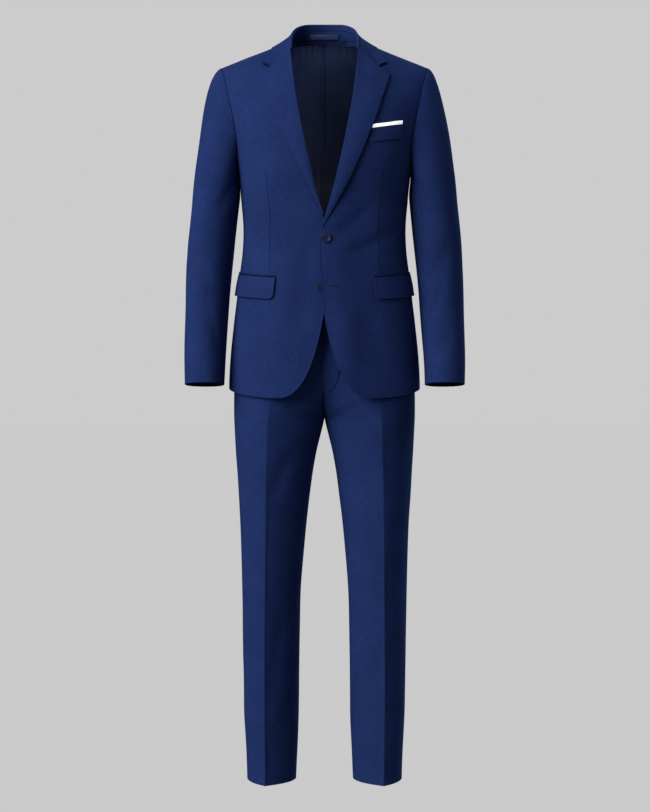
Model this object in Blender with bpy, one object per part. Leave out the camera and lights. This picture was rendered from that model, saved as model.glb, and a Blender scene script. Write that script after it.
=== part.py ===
"""Two-piece suit in navy wool, filled out as worn, hollow, with nobody in it.

The origin is the nape: the neck seam at the centre of the jacket's back. +Z is up, the front
faces -Y and +X is the wearer's left. Heights are drops below the nape. The jacket's fronts, sides
and backs lie on one torso surface, the sleeves on tubes that start at its armholes, and the
trousers on a pair of creased legs. Each cut piece is a wall of cloth on its own patch of these.
"""

from collections import namedtuple
from math import asin, copysign, cos, pi, radians, sin

import bmesh
import bpy
from mathutils import Vector

# --- Cloth and seams, in metres -------------------------------------------------------------------
CLOTH = 0.0016  # the suit's wool with its interlining
LINING = 0.0010  # the satin inside the jacket
SEAM = 0.0003  # open line between two pieces sewn edge to edge
SEAM_ANGLE = radians(0.12)  # half of that line, as an angle round the torso or a sleeve
ON_TOP = 0.0010  # space under a piece that lies on a panel
PATCH_STEP = 0.006  # how far apart a patch is read to find its way out, as a share of its size
TORSO_STEP = 0.0008  # the same on the torso, in metres
CLIMB_ROUNDS = 8  # tries at settling how high up its panel a point lies

# --- Jacket ---------------------------------------------------------------------------------------
# Outline of the torso at each drop: half width, depth of the front and back at the centre line,
# depth of the widest points, and how square the section is (2 is an ellipse).
Torso = namedtuple("Torso", "drop half front back middle square")
TORSO = (
    Torso(-0.040, 0.2750, -0.188, 0.088, -0.058, 2.40),
    Torso(0.000, 0.2620, -0.192, 0.084, -0.060, 2.40),
    Torso(0.050, 0.2470, -0.199, 0.068, -0.063, 2.40),
    Torso(0.100, 0.2315, -0.206, 0.063, -0.067, 2.40),
    Torso(0.170, 0.2105, -0.212, 0.058, -0.078, 2.40),
    Torso(0.230, 0.1918, -0.214, 0.049, -0.084, 2.40),
    Torso(0.300, 0.1775, -0.212, 0.038, -0.087, 2.40),
    Torso(0.345, 0.1726, -0.206, 0.027, -0.089, 2.40),
    Torso(0.410, 0.1685, -0.199, 0.013, -0.092, 2.35),
    Torso(0.450, 0.1699, -0.197, 0.011, -0.092, 2.30),
    Torso(0.500, 0.1755, -0.197, 0.016, -0.091, 2.30),
    Torso(0.550, 0.1820, -0.198, 0.025, -0.089, 2.25),
    Torso(0.600, 0.1885, -0.200, 0.033, -0.087, 2.25),
    Torso(0.660, 0.1940, -0.203, 0.042, -0.084, 2.25),
    Torso(0.735, 0.1978, -0.206, 0.046, -0.083, 2.25),
    Torso(0.765, 0.1984, -0.207, 0.046, -0.083, 2.25),
)
# Height of the shoulder seam over the nape, at each distance from the centre line.
Ridge = namedtuple("Ridge", "out rise")
RIDGE = (
    Ridge(0.0000, 0.0300),
    Ridge(0.0450, 0.0220),
    Ridge(0.0780, -0.0100),
    Ridge(0.1075, -0.0248),
    Ridge(0.1600, -0.0459),
    Ridge(0.2135, -0.0674),
    Ridge(0.2800, -0.0941),
)
CHEST_DROP = 0.300  # above it the front and back lean in to meet at the shoulder seam
FRONT_ARCH = 1.8
BACK_ARCH = 2.0

NECK_OUT = 0.078  # where the shoulder seam starts, at the collar
NECK_DROP = 0.010
SHOULDER_OUT = 0.2135  # where it ends, at the sleeve
ARMHOLE_BOTTOM = 0.286
ARMHOLE_TOP_ANGLE = radians(60.4)
ARMHOLE_BEND = 1.2

SIDE_FRONT_ANGLE = radians(70)  # seam between front and side
SIDE_BACK_ANGLE = pi - SIDE_FRONT_ANGLE  # seam between side and back
HEM_FRONT_DROP = 0.7565
HEM_BACK_DROP = 0.7300
HEM_RISE_START = radians(20)  # the hem rises between these angles
HEM_RISE_END = radians(120)
BODY_ROWS = 18
HIGH_ROWS = 7  # the rows of these that lie above the side seams
BODY_COLUMNS = 8
SIDE_COLUMNS = 3
ROW_BUNCH = 1.2  # rows lie closer together towards the hem
LINING_ROWS = (1, 16)  # the rows and columns of the back that its lining covers
LINING_COLUMNS = 7
FACING_COLUMNS = 2
FACING_CLEAR = 0.0034  # space between the back and its facing
FACING_ROWS = (0.925, 1 - 1 / BODY_ROWS, 0.994)

# Front edges: how far each lies on its own side of the centre line. Below the last row the edge
# curves away to the hem.
Edge = namedtuple("Edge", "drop right left")
EDGE = (
    Edge(0.0100, 0.0780, 0.0780),
    Edge(0.0384, 0.0715, 0.0715),
    Edge(0.0930, 0.0660, 0.0660),
    Edge(0.1470, 0.0590, 0.0590),
    Edge(0.1990, 0.0500, 0.0500),
    Edge(0.2450, 0.0408, 0.0408),
    Edge(0.2980, 0.0284, 0.0284),
    Edge(0.3500, 0.0150, 0.0150),
    Edge(0.3880, 0.0040, 0.0040),
    Edge(0.4120, -0.0100, -0.0068),
    Edge(0.4450, -0.0195, -0.0105),
    Edge(0.4830, -0.0200, -0.0095),
    Edge(0.5200, -0.0185, -0.0045),
    Edge(0.5500, -0.0110, -0.0025),
    Edge(0.5750, 0.0012, -0.0012),
)
CUTAWAY_DROP = 0.575
CUTAWAY_OUT = 0.0975
CUTAWAY_START = 1.25  # how slowly it leaves the centre
CUTAWAY_TURN = 0.40  # how tightly it turns into the hem
LAP_LIFT = 0.0052  # the left front clears the right one and its lower button
LAP_INNER = 0.022
LAP_OUTER = 0.085
LAP_TOP = 0.260
LAP_FULL = 0.395

# Lapels: roll line, and the outer edge on each side.
Lapel = namedtuple("Lapel", "drop roll right left")
LAPEL = (
    Lapel(0.0384, 0.0680, 0.1400, 0.1400),
    Lapel(0.0930, 0.0625, 0.1320, 0.1320),
    Lapel(0.1470, 0.0557, 0.1154, 0.1156),
    Lapel(0.1990, 0.0467, 0.0940, 0.0974),
    Lapel(0.2450, 0.0376, 0.0728, 0.0790),
    Lapel(0.2980, 0.0252, 0.0471, 0.0566),
    Lapel(0.3500, 0.0120, 0.0213, 0.0304),
    Lapel(0.3860, 0.0012, 0.0036, 0.0105),
    Lapel(0.4120, -0.0068, -0.0060, -0.0056),
)
GORGE_DROP = 0.0384  # the roll line's top, where lapel and collar are joined
NOTCH = (0.1072, 0.0765)  # the notch's inner corner, as a distance out and a drop
LAPEL_TIP = (0.1320, 0.0935)
COLLAR_TIP = (0.1260, 0.0653)
LAPEL_END = {"right": 0.378, "left": 0.402}
LAPEL_THICK = 0.0020
LAPEL_STANDS = 0.0022  # its top stands off by this much more than its foot
GORGE_BEND = 8  # how close to the top the lapel's rows start to follow the gorge

# Collar: the crease round the neck, from the centre back to the gorge.
Crease = namedtuple("Crease", "along x y z")
CREASE = (
    Crease(0.00, 0.0000, -0.004, 0.0320),
    Crease(0.22, 0.0350, -0.012, 0.0305),
    Crease(0.42, 0.0580, -0.034, 0.0225),
    Crease(0.60, 0.0670, -0.062, 0.0060),
    Crease(0.80, 0.0690, -0.093, -0.0140),
    Crease(1.00, 0.0685, -0.119, -0.0330),
)
COLLAR_EDGE_OUT = 0.1075  # where the collar's edge crosses the shoulder
COLLAR_BACK_DROP = 0.014
COLLAR_THICK = 0.0012
COLLAR_FOLD = 0.0030  # radius of its crease
COLLAR_INSIDE = 0.012  # how far the turned collar reaches down inside
COLLAR_END_INSIDE = 0.25  # the share of that which is left at its front ends
COLLAR_BULGE = 0.004
COLLAR_CLEAR = 0.0024  # space under the collar where it lies on the torso
COLLAR_FLAT = 0.70  # from here to its ends the collar settles flat on the front
GORGE_GAP = 0.0010  # open line between collar and lapel
STAND_GAP = 0.0009
NECK_CENTRE_Y = -0.060
NOTCH_SHARE = 0.60  # how far along the gorge line the notch starts
FOLD_START = 0.125  # the crease takes up these shares of the collar's rows
FOLD_END = 0.375
STAND_REACH = 0.60  # how far round the stand comes
SHOULDER_ALONG = 0.60  # where the collar crosses the shoulder seam, along its own length

# Sleeves, from the top of the arm to the cuff.
Sleeve = namedtuple("Sleeve", "drop inner outer front back")
SLEEVE = (
    Sleeve(0.344, 0.1757, 0.2746, -0.151, -0.024),
    Sleeve(0.448, 0.1866, 0.2839, -0.147, -0.024),
    Sleeve(0.552, 0.1962, 0.2881, -0.152, -0.038),
    Sleeve(0.656, 0.2024, 0.2892, -0.166, -0.059),
    Sleeve(0.740, 0.2066, 0.2876, -0.181, -0.078),
)
CUFF_DROP = 0.728
CUFF_TILT = 0.08  # the back of the cuff hangs lower than its front
SLEEVE_SQUARE = 2.2
SLEEVE_GAP = 0.0017
SLEEVE_SEAM_ANGLE = radians(0.2)  # half of the open line at a sleeve's seam
TUBE_SHARE = 0.55  # the share of a sleeve's rows that lie below the armhole's cap
CAP_OUT = 0.10  # how strongly the cap's cloth leaves the shoulder, sideways
CAP_TURN = 0.035  # and towards the front and back
CAP_DOWN = 0.02  # and down: everywhere
CAP_SIDE_DOWN = 0.10  # more of it at the front and back of the armhole
CAP_UNDER_DOWN = 0.04  # and more at the underarm
CAP_PULL = 0.9  # how strongly it settles into the sleeve's tube
CAP_REACH = 0.12  # a shorter cap than this is pulled less
CAP_STEP = 0.01
FOREARM_SEAM = radians(125)  # round the sleeve from its outer line, by way of the front
HINDARM_SEAM = radians(290)

# The turns between those seams at which the top sleeve has its columns: 0 is the shoulder point.
TOP_TURNS = [radians(turn) for turn in (-50, -30, -12, 0, 12, 32, 54, 78, 102)]

# Pockets and their trim, as places on the fronts.
POCKET_DROP = 0.5065  # top of the jet at its front end
POCKET_OUT = 0.1003
POCKET_END_ANGLE = radians(98)
POCKET_RISE = 0.014  # how much higher its end at the side is
JET_HIGH = 0.0040
FLAP_HIGH = 0.0440
FLAP_SLANT = 0.0035  # how far its front edge leans back
FLAP_CORNER = 0.0110
FLAP_ROUND = 0.55  # how far the corner turns in, as a share of its height
FLAP_THICK = 0.0022
FLAP_STANDS = 0.0015  # its lower edge stands off by this much more
WELT_OUT = 0.0945
WELT_WIDE = 0.0650
WELT_TOP_DROP = 0.2098
WELT_HIGH = 0.0285
WELT_RISE = 0.19
WELT_LEAN = 0.0080
WELT_END_LEAN = 0.4  # how much less its outer end leans
SQUARE_START = 0.0012  # the light strip starts this far along the welt
SQUARE_WIDE = 0.0620
SQUARE_HIGH = 0.0072

BUTTON_RADIUS = 0.0104
BUTTON_HIGH = 0.0026
BUTTON_HOLE = 0.0009
BUTTON_HOLE_OUT = 0.0022
TOP_BUTTON = (0.0030, 0.4312)
LOW_BUTTON = (-0.0065, 0.5315)

LOOP_WIDE = 0.0590
LOOP_START = 0.08  # the loop lies between these shares of the stand's height
LOOP_END = 0.62

# --- Trousers -------------------------------------------------------------------------------------
# One leg at each drop: its inner and outer lines, its front and back creases, the depth of the
# inner edges, the depth of the outer line, and how round the leg is at its creases (0.5 is round).
Leg = namedtuple("Leg", "drop inner outer crease front back inner_front inner_back side round")
LEG = (
    Leg(0.495, 0.0003, 0.1580, 0.085, -0.167, -0.010, -0.169, -0.014, -0.090, 0.50),
    Leg(0.600, 0.0003, 0.1755, 0.097, -0.176, 0.008, -0.176, 0.004, -0.086, 0.48),
    Leg(0.680, 0.0003, 0.1840, 0.105, -0.180, 0.018, -0.174, 0.010, -0.085, 0.42),
    Leg(0.730, 0.0003, 0.1872, 0.109, -0.180, 0.020, -0.163, 0.000, -0.085, 0.36),
    Leg(0.768, 0.0003, 0.1880, 0.112, -0.180, 0.019, -0.138, -0.026, -0.085, 0.32),
    Leg(0.790, 0.0006, 0.1879, 0.114, -0.179, 0.017, -0.104, -0.062, -0.085, 0.30),
    Leg(0.798, 0.0012, 0.1877, 0.115, -0.179, 0.016, -0.085, -0.085, -0.085, 0.30),
    Leg(0.833, 0.0083, 0.1860, 0.117, -0.178, 0.012, -0.085, -0.085, -0.085, 0.29),
    Leg(0.870, 0.0172, 0.1840, 0.118, -0.176, 0.008, -0.085, -0.085, -0.085, 0.28),
    Leg(0.925, 0.0265, 0.1800, 0.120, -0.173, 0.004, -0.085, -0.085, -0.085, 0.26),
    Leg(1.050, 0.0406, 0.1737, 0.121, -0.168, -0.001, -0.085, -0.085, -0.085, 0.24),
    Leg(1.175, 0.0500, 0.1706, 0.122, -0.164, -0.004, -0.084, -0.084, -0.084, 0.22),
    Leg(1.300, 0.0522, 0.1685, 0.123, -0.160, -0.003, -0.082, -0.082, -0.082, 0.20),
    Leg(1.400, 0.0532, 0.1668, 0.123, -0.156, -0.004, -0.081, -0.081, -0.081, 0.20),
    Leg(1.500, 0.0570, 0.1622, 0.122, -0.153, -0.006, -0.080, -0.080, -0.080, 0.20),
    Leg(1.550, 0.0592, 0.1605, 0.1215, -0.152, -0.006, -0.080, -0.080, -0.080, 0.20),
)
BACK_CREASE_IN = 0.014  # the back crease lies nearer the inside of the leg
WAIST_TOP_DROP = 0.5000
WAIST_SEAM_DROP = 0.5380
BAND_GAP = 0.0008
FLY_RIGHT = -0.0036
FLY_LEFT = 0.0295
FLY_END_DROP = 0.7440
FLY_CURVE_DROP = 0.6950
FLY_THICK = 0.0012
FLY_FOOT = 0.97  # how much of its width the foot has lost
# The drops of the rows of cloth in a leg and in the fly.
LEG_ROWS = (1.545, 1.430, 1.310, 1.190, 1.070, 0.960, 0.890, 0.840, 0.812, 0.790, 0.768, 0.742,
            0.715, 0.690, 0.615, WAIST_SEAM_DROP)
FLY_ROWS = (FLY_END_DROP, 0.733, 0.715, 0.690, 0.615, WAIST_SEAM_DROP + SEAM)
CROTCH_DROP = 0.798
LEGS_JOINED = 0.742  # above this drop the two legs are one

# --- Finishes: colour, roughness --------------------------------------------------------------
Finish = namedtuple("Finish", "red green blue rough")
FINISHES = {
    "suiting": Finish(0.016, 0.030, 0.125, 0.80),
    "lining_satin": Finish(0.006, 0.008, 0.022, 0.45),
    "light_cotton": Finish(0.80, 0.80, 0.82, 0.85),
    "button_horn": Finish(0.010, 0.012, 0.030, 0.35),
}
SIDES = {"right": -1, "left": 1}


# --- Reading the tables ---------------------------------------------------------------------------
def slope(keys, values, i):
    """The tangent at one row: flat at a turn, and the harmonic mean of its two sides elsewhere."""
    ahead = min(i, len(keys) - 2)
    behind = max(i - 1, 0)
    after = (values[ahead + 1] - values[ahead]) / (keys[ahead + 1] - keys[ahead])
    before = (values[behind + 1] - values[behind]) / (keys[behind + 1] - keys[behind])
    if after * before <= 0:
        return 0.0
    return 2 * after * before / (after + before)


def read(rows, column, at):
    """A column's value at a key between the rows, on a smooth curve that never overshoots."""
    keys = [row[0] for row in rows]
    values = [getattr(row, column) for row in rows]
    at = min(max(at, keys[0]), keys[-1])
    i = max(k for k in range(len(keys) - 1) if keys[k] <= at)
    step = keys[i + 1] - keys[i]
    t = (at - keys[i]) / step
    rise_here = slope(keys, values, i) * step
    rise_next = slope(keys, values, i + 1) * step
    base = values[i] * (1 + 2 * t) * (1 - t) ** 2 + values[i + 1] * t * t * (3 - 2 * t)
    return base + rise_here * t * (1 - t) ** 2 - rise_next * t * t * (1 - t)


def ramp(start, end, at):
    """0 at start, 1 at end, smooth between."""
    t = min(max((at - start) / (end - start), 0.0), 1.0)
    return t * t * (3 - 2 * t)


def mix(a, b, t):
    return a * (1 - t) + b * t


def between(rows, v):
    """The value this share of the way through a list of rows."""
    at = v * (len(rows) - 1)
    row = min(int(at), len(rows) - 2)
    return mix(rows[row], rows[row + 1], at - row)


# --- The torso surface ----------------------------------------------------------------------------
def arch(out, drop, power):
    """How much of its full depth the torso keeps here: none at the shoulder seam."""
    up = (CHEST_DROP - drop) / (CHEST_DROP + read(RIDGE, "rise", abs(out)))
    up = min(max(up, 0.0), 1.0)
    return (1 - up**power) ** (1 / power)


def torso(angle, drop):
    """A point of the wearer's left half. The angle goes from the centre front round to the back."""
    half = read(TORSO, "half", drop)
    square = read(TORSO, "square", drop)
    middle = read(TORSO, "middle", drop)
    out = copysign(half * abs(sin(angle)) ** (2 / square), sin(angle))
    share = abs(cos(angle)) ** (2 / square)
    if cos(angle) >= 0:
        depth = (read(TORSO, "front", drop) - middle) * share * arch(out, drop, FRONT_ARCH)
    else:
        depth = (read(TORSO, "back", drop) - middle) * share * arch(out, drop, BACK_ARCH)
    return Vector((out, middle + depth, -drop))


def angle_at(out, drop, behind=False):
    """The angle of the point that lies this far out."""
    half = read(TORSO, "half", drop)
    square = read(TORSO, "square", drop)
    angle = asin(min(abs(out) / half, 1.0) ** (square / 2))
    if out < 0:
        angle = -angle
    return pi - angle if behind else angle


def armhole(part, behind=False):
    """The armhole in angle and drop, from the shoulder (0) to the underarm (1)."""
    top = -read(RIDGE, "rise", SHOULDER_OUT)
    drop = top + (ARMHOLE_BOTTOM - top) * sin(part * pi / 2)
    bend = (1 - cos(part * pi / 2)) ** ARMHOLE_BEND
    angle = mix(ARMHOLE_TOP_ANGLE, pi / 2, bend)
    return (pi - angle if behind else angle), drop


def armhole_part(angle):
    """How far down the armhole a seam at this angle from the front meets it."""
    bend = (angle - ARMHOLE_TOP_ANGLE) / (pi / 2 - ARMHOLE_TOP_ANGLE)
    turned = 1 - bend ** (1 / ARMHOLE_BEND)
    return asin((1 - turned * turned) ** 0.5) / (pi / 2)


def front_edge(drop, side):
    """How far on its own side a front's edge lies."""
    if drop <= CUTAWAY_DROP:
        return read(EDGE, side, drop)
    down = min((drop - CUTAWAY_DROP) / (HEM_FRONT_DROP - CUTAWAY_DROP), 1.0)
    away = 1 - (1 - down**CUTAWAY_START) ** CUTAWAY_TURN
    start = getattr(EDGE[-1], side)
    return start + (CUTAWAY_OUT - start) * away


def lap(out, drop, side):
    """How far the left front stands off where it laps over the right one."""
    if side == "right":
        return 0.0
    return LAP_LIFT * ramp(LAP_OUTER, LAP_INNER, out) * ramp(LAP_TOP, LAP_FULL, drop)


# --- Making walls of cloth ------------------------------------------------------------------------
def normal_of(place, u, v, facing):
    """The way out of a patch at one of its points."""
    low_u, high_u = max(u - PATCH_STEP, 0.0), min(u + PATCH_STEP, 1.0)
    low_v, high_v = max(v - PATCH_STEP, 0.0), min(v + PATCH_STEP, 1.0)
    across = place(high_u, v) - place(low_u, v)
    along = place(u, high_v) - place(u, low_v)
    return across.cross(along).normalized() * facing


def moved(place, distance, facing):
    """The same patch moved out by a distance."""

    def shifted(u, v):
        return place(u, v) + normal_of(place, u, v, facing) * distance

    return shifted


def mirrored(place, side):
    """A patch of the wearer's left half, or its mirror image on the right."""
    if side == "left":
        return place

    def flipped(u, v):
        point = place(u, v)
        return Vector((-point.x, point.y, point.z))

    return flipped


def add(name, mesh, finish):
    """A named object for a mesh, in the suit's collection."""
    data = bpy.data.meshes.new(name)
    mesh.to_mesh(data)
    mesh.free()
    data.materials.append(materials[finish])
    body = bpy.data.objects.new(name, data)
    suit.objects.link(body)
    return body


def wall(name, place, columns, rows, thick, facing, finish="suiting", half=0):
    """A closed wall: the patch is its face, and the wall reaches this far behind it.

    A half of -1 or 1 keeps all of it on that side of the centre line.
    """
    mesh = bmesh.new()
    bmesh.ops.create_grid(mesh, x_segments=columns, y_segments=rows, size=0.5)
    made = bmesh.ops.extrude_face_region(mesh, geom=mesh.faces[:])
    behind = {part for part in made["geom"] if isinstance(part, bmesh.types.BMVert)}
    for vert in mesh.verts:
        u = vert.co.x + 0.5
        v = vert.co.y + 0.5
        vert.co = place(u, v)
        if vert in behind:
            vert.co -= normal_of(place, u, v, facing) * thick
        if half:
            vert.co.x = half * max(half * vert.co.x, SEAM / 2)
    bmesh.ops.triangulate(mesh, faces=mesh.faces[:], quad_method="FIXED")
    bmesh.ops.recalc_face_normals(mesh, faces=mesh.faces[:])
    if mesh.calc_volume(signed=True) < 0:
        bmesh.ops.reverse_faces(mesh, faces=mesh.faces[:])
    return add(name, mesh, finish)


# --- Jacket body ----------------------------------------------------------------------------------
SIDE_LEVEL = armhole(armhole_part(SIDE_FRONT_ANGLE))[1]  # where the side seams meet the armhole
LOW_SHARE = 1 - HIGH_ROWS / BODY_ROWS  # the share of a panel's rows below that level


def hem_drop(angle):
    """The hem is lowest at the front and rises round the side."""
    return mix(HEM_FRONT_DROP, HEM_BACK_DROP, ramp(HEM_RISE_START, HEM_RISE_END, angle))


def crown(out, behind):
    """The drop of a panel's top: the neck seam behind the neck, and the shoulder seam."""
    if behind and abs(out) < NECK_OUT:
        return NECK_DROP * (abs(out) / NECK_OUT) ** 3
    return -read(RIDGE, "rise", abs(out))


def armhole_angle(drop, behind):
    """The armhole's angle at a drop between the side seams and the shoulder."""
    top = -read(RIDGE, "rise", SHOULDER_OUT)
    share = min(max((drop - top) / (ARMHOLE_BOTTOM - top), 0.0), 1.0)
    return armhole(asin(share) / (pi / 2), behind)[0]


def climb(angle_of, lift, behind):
    """The angle and drop at which an edge is this share of the way from side level to the top."""
    drop = mix(SIDE_LEVEL, crown(SHOULDER_OUT, behind), lift)
    for _ in range(CLIMB_ROUNDS):
        angle = angle_of(drop)
        drop = mix(SIDE_LEVEL, crown(torso(angle, drop).x, behind), lift)
    return angle, drop


def body_patch(inner, behind, side):
    """A front or back: u goes from the centre to the side, and v from the hem to the shoulder."""
    seam = SIDE_BACK_ANGLE + SEAM_ANGLE if behind else SIDE_FRONT_ANGLE - SEAM_ANGLE
    centre_hem = HEM_BACK_DROP if behind else HEM_FRONT_DROP

    def inner_angle(drop):
        return angle_at(inner(drop), drop, behind)

    def outer_angle(drop):
        angle = armhole_angle(drop, behind)
        return max(angle, seam) if behind else min(angle, seam)

    def place(u, v):
        if v <= LOW_SHARE:
            lift = (v / LOW_SHARE) ** ROW_BUNCH
            angle = mix(inner_angle(mix(centre_hem, SIDE_LEVEL, lift)), seam, u)
            drop = mix(hem_drop(angle), SIDE_LEVEL, lift)
        else:
            lift = sin((v - LOW_SHARE) / (1 - LOW_SHARE) * pi / 2)
            start, _ = climb(inner_angle, lift, behind)
            end, _ = climb(outer_angle, lift, behind)
            angle, drop = climb(lambda _: mix(start, end, u), lift, behind)
        point = torso(angle, drop)
        point.y += SEAM if behind else -SEAM - lap(point.x, drop, side)
        return point

    return place


def front_patch(side):
    return body_patch(lambda drop: front_edge(drop, side), False, side)


def back_patch():
    return body_patch(lambda drop: SEAM / 2, True, "left")


def side_patch(u, v):
    """The side body: u goes from the front seam to the back seam, v from the hem to the armhole."""
    angle = mix(SIDE_FRONT_ANGLE + SEAM_ANGLE, SIDE_BACK_ANGLE - SEAM_ANGLE, u)
    from_front = min(angle, pi - angle)
    top = armhole(armhole_part(from_front))[1]
    return torso(angle, mix(hem_drop(angle), top, v**ROW_BUNCH))


def make_body():
    low_rows = BODY_ROWS - HIGH_ROWS
    for side, sign in SIDES.items():
        front = mirrored(front_patch(side), side)
        back = mirrored(back_patch(), side)
        across = mirrored(side_patch, side)
        wall(f"front_{side}", front, BODY_COLUMNS, BODY_ROWS, CLOTH, sign)
        wall(f"side_{side}", across, SIDE_COLUMNS, low_rows, CLOTH, sign)
        wall(f"back_{side}", back, BODY_COLUMNS, BODY_ROWS, CLOTH, -sign, half=sign)


def on_torso(out, drop, behind=False):
    """A point of the torso by its distance out and its drop."""
    return torso(angle_at(out, drop, behind), drop)


def out_of_torso(out, drop, behind=False):
    """The way out of the torso there."""
    across = on_torso(out + TORSO_STEP, drop, behind) - on_torso(out - TORSO_STEP, drop, behind)
    down = on_torso(out, drop + TORSO_STEP, behind) - on_torso(out, drop, behind)
    way = down.cross(across).normalized()
    return -way if behind else way


# --- Lining, facing and loop ----------------------------------------------------------------------
def lining_patch():
    """The lining shares the back's rows and columns."""
    back = back_patch()
    start, end = LINING_ROWS

    def place(u, v):
        return back(u * LINING_COLUMNS / BODY_COLUMNS, mix(start, end, v) / BODY_ROWS)

    return moved(place, -(CLOTH + SEAM * 2), -1)


def facing_patch(u, v):
    """The strip of wool inside the back neck, from right to left."""
    part = abs(2 * u - 1) * FACING_COLUMNS / BODY_COLUMNS
    point = back_patch()(part, between(FACING_ROWS, v))
    if u < 0.5:
        point.x = -point.x
    return point


def make_inside():
    start, end = LINING_ROWS
    for side, sign in SIDES.items():
        wall(f"lining_{side}", mirrored(lining_patch(), side), LINING_COLUMNS, end - start, LINING,
             -sign, "lining_satin", sign)
    facing = moved(facing_patch, -(CLOTH + FACING_CLEAR), -1)
    wall("neck_facing", facing, 2 * FACING_COLUMNS, len(FACING_ROWS) - 1, LINING, -1)
    loop = moved(loop_patch, ON_TOP + LINING, 1)
    wall("hanger_loop", loop, 8, 1, LINING, 1, "lining_satin")


# --- Collar and lapels ----------------------------------------------------------------------------
def crease_at(along):
    return Vector((read(CREASE, "x", along), read(CREASE, "y", along), read(CREASE, "z", along)))


def neck_at(along):
    """The neck seam: round the back neck, then down the front to the gorge."""
    if along <= SHOULDER_ALONG:
        out = NECK_OUT * along / SHOULDER_ALONG
        return on_torso(out, crown(out, True), True)
    drop = mix(NECK_DROP, GORGE_DROP, (along - SHOULDER_ALONG) / (1 - SHOULDER_ALONG))
    return on_torso(front_edge(drop, "left"), drop)


def above_torso(out, drop, behind=False):
    """A point of the collar's face where it lies on the torso."""
    lift = COLLAR_CLEAR + COLLAR_THICK
    return on_torso(out, drop, behind) + out_of_torso(out, drop, behind) * lift


def collar_edge(along):
    """The collar's outer edge, where it lies on the back, the shoulder and the front."""
    shoulder_drop = -read(RIDGE, "rise", COLLAR_EDGE_OUT)
    if along <= SHOULDER_ALONG:
        part = along / SHOULDER_ALONG
        drop = mix(COLLAR_BACK_DROP, shoulder_drop, part * part)
        return above_torso(COLLAR_EDGE_OUT * part, drop, True)
    part = (along - SHOULDER_ALONG) / (1 - SHOULDER_ALONG)
    out = mix(COLLAR_EDGE_OUT, COLLAR_TIP[0], part)
    return above_torso(out, mix(shoulder_drop, COLLAR_TIP[1], part))


def collar_end(part):
    """The collar's front end: down the gorge to the notch, then out to the collar's tip."""
    gorge = (read(LAPEL, "roll", GORGE_DROP), GORGE_DROP)
    start, end, share = gorge, NOTCH, part / NOTCH_SHARE
    if part > NOTCH_SHARE:
        start, end, share = NOTCH, COLLAR_TIP, (part - NOTCH_SHARE) / (1 - NOTCH_SHARE)
    return above_torso(mix(start[0], end[0], share), mix(start[1], end[1], share) - GORGE_GAP)


def inward_at(along):
    """The level way from the collar's crease to the middle of the neck."""
    crease = crease_at(along)
    return Vector((-crease.x, NECK_CENTRE_Y - crease.y, 0)).normalized()


def collar_inner(along, down):
    """A point of the turned collar inside the crease, on its way down to the neck seam."""
    top = crease_at(along) + inward_at(along) * COLLAR_FOLD - Vector((0, 0, COLLAR_FOLD))
    depth = COLLAR_INSIDE * mix(1.0, COLLAR_END_INSIDE, ramp(SHOULDER_ALONG, 1.0, along))
    return top + (neck_at(along) - top).normalized() * depth * down


def collar_outer(along, part):
    """A point of the collar outside the crease, from the crease (0) to its edge (1)."""
    start = crease_at(along) - inward_at(along) * COLLAR_FOLD - Vector((0, 0, COLLAR_FOLD))
    edge = collar_edge(along)
    away = (edge - start).cross(inward_at(along).cross(Vector((0, 0, 1)))).normalized()
    point = mix(start, edge, part) + away * COLLAR_BULGE * 4 * part * (1 - part)
    return mix(point, collar_end(part), ramp(COLLAR_FLAT, 1.0, along))


def collar_patch(u, v):
    """u goes round the neck from the right, v from the inner seam over the crease to the edge."""
    along = abs(2 * u - 1)
    if v < FOLD_START:
        point = collar_inner(along, 1 - v / FOLD_START)
    elif v < FOLD_END:
        turn = pi * (v - FOLD_START) / (FOLD_END - FOLD_START)
        point = crease_at(along) + inward_at(along) * COLLAR_FOLD * cos(turn)
        point.z += COLLAR_FOLD * (sin(turn) - 1)
    else:
        point = collar_outer(along, (v - FOLD_END) / (1 - FOLD_END))
    if u < 0.5:
        point.x = -point.x
    return point


def stand_patch(u, v):
    """The stand inside the neck: v goes from the neck seam up to the turned collar."""
    along = abs(2 * u - 1) * STAND_REACH
    foot = neck_at(along) + Vector((0, 0, STAND_GAP))
    top = collar_inner(along, 1.0)
    point = mix(foot, top + (foot - top).normalized() * STAND_GAP, v)
    if u < 0.5:
        point.x = -point.x
    return point


def loop_patch(u, v):
    reach = LOOP_WIDE / 2 / NECK_OUT * SHOULDER_ALONG / STAND_REACH
    return stand_patch(mix(0.5 - reach / 2, 0.5 + reach / 2, u), mix(LOOP_START, LOOP_END, v))


def lapel_patch(side):
    """u goes from the roll line to the outer edge, and v from the foot to the gorge."""

    def place(u, v):
        roll_drop = mix(LAPEL_END[side], GORGE_DROP, v)
        edge_drop = mix(LAPEL_END[side], LAPEL_TIP[1], v)
        out = mix(read(LAPEL, "roll", roll_drop), read(LAPEL, side, edge_drop), u)
        drop = mix(roll_drop, edge_drop, u)
        dip = NOTCH[1] - mix(GORGE_DROP, LAPEL_TIP[1], NOTCH_SHARE)
        drop += dip * min(u / NOTCH_SHARE, (1 - u) / (1 - NOTCH_SHARE)) * v**GORGE_BEND
        point = on_torso(out, drop)
        point.y -= lap(out, drop, side)
        return point

    def lying(u, v):
        stands = ON_TOP + LAPEL_THICK + LAPEL_STANDS * v
        return place(u, v) + normal_of(place, u, v, 1) * stands

    return lying


def make_collar():
    wall("collar_fall", collar_patch, 20, 8, COLLAR_THICK, 1)
    wall("collar_stand", stand_patch, 12, 2, CLOTH, 1)
    for side, sign in SIDES.items():
        wall(f"lapel_{side}", mirrored(lapel_patch(side), side), 5, 12, LAPEL_THICK, sign)


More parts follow.
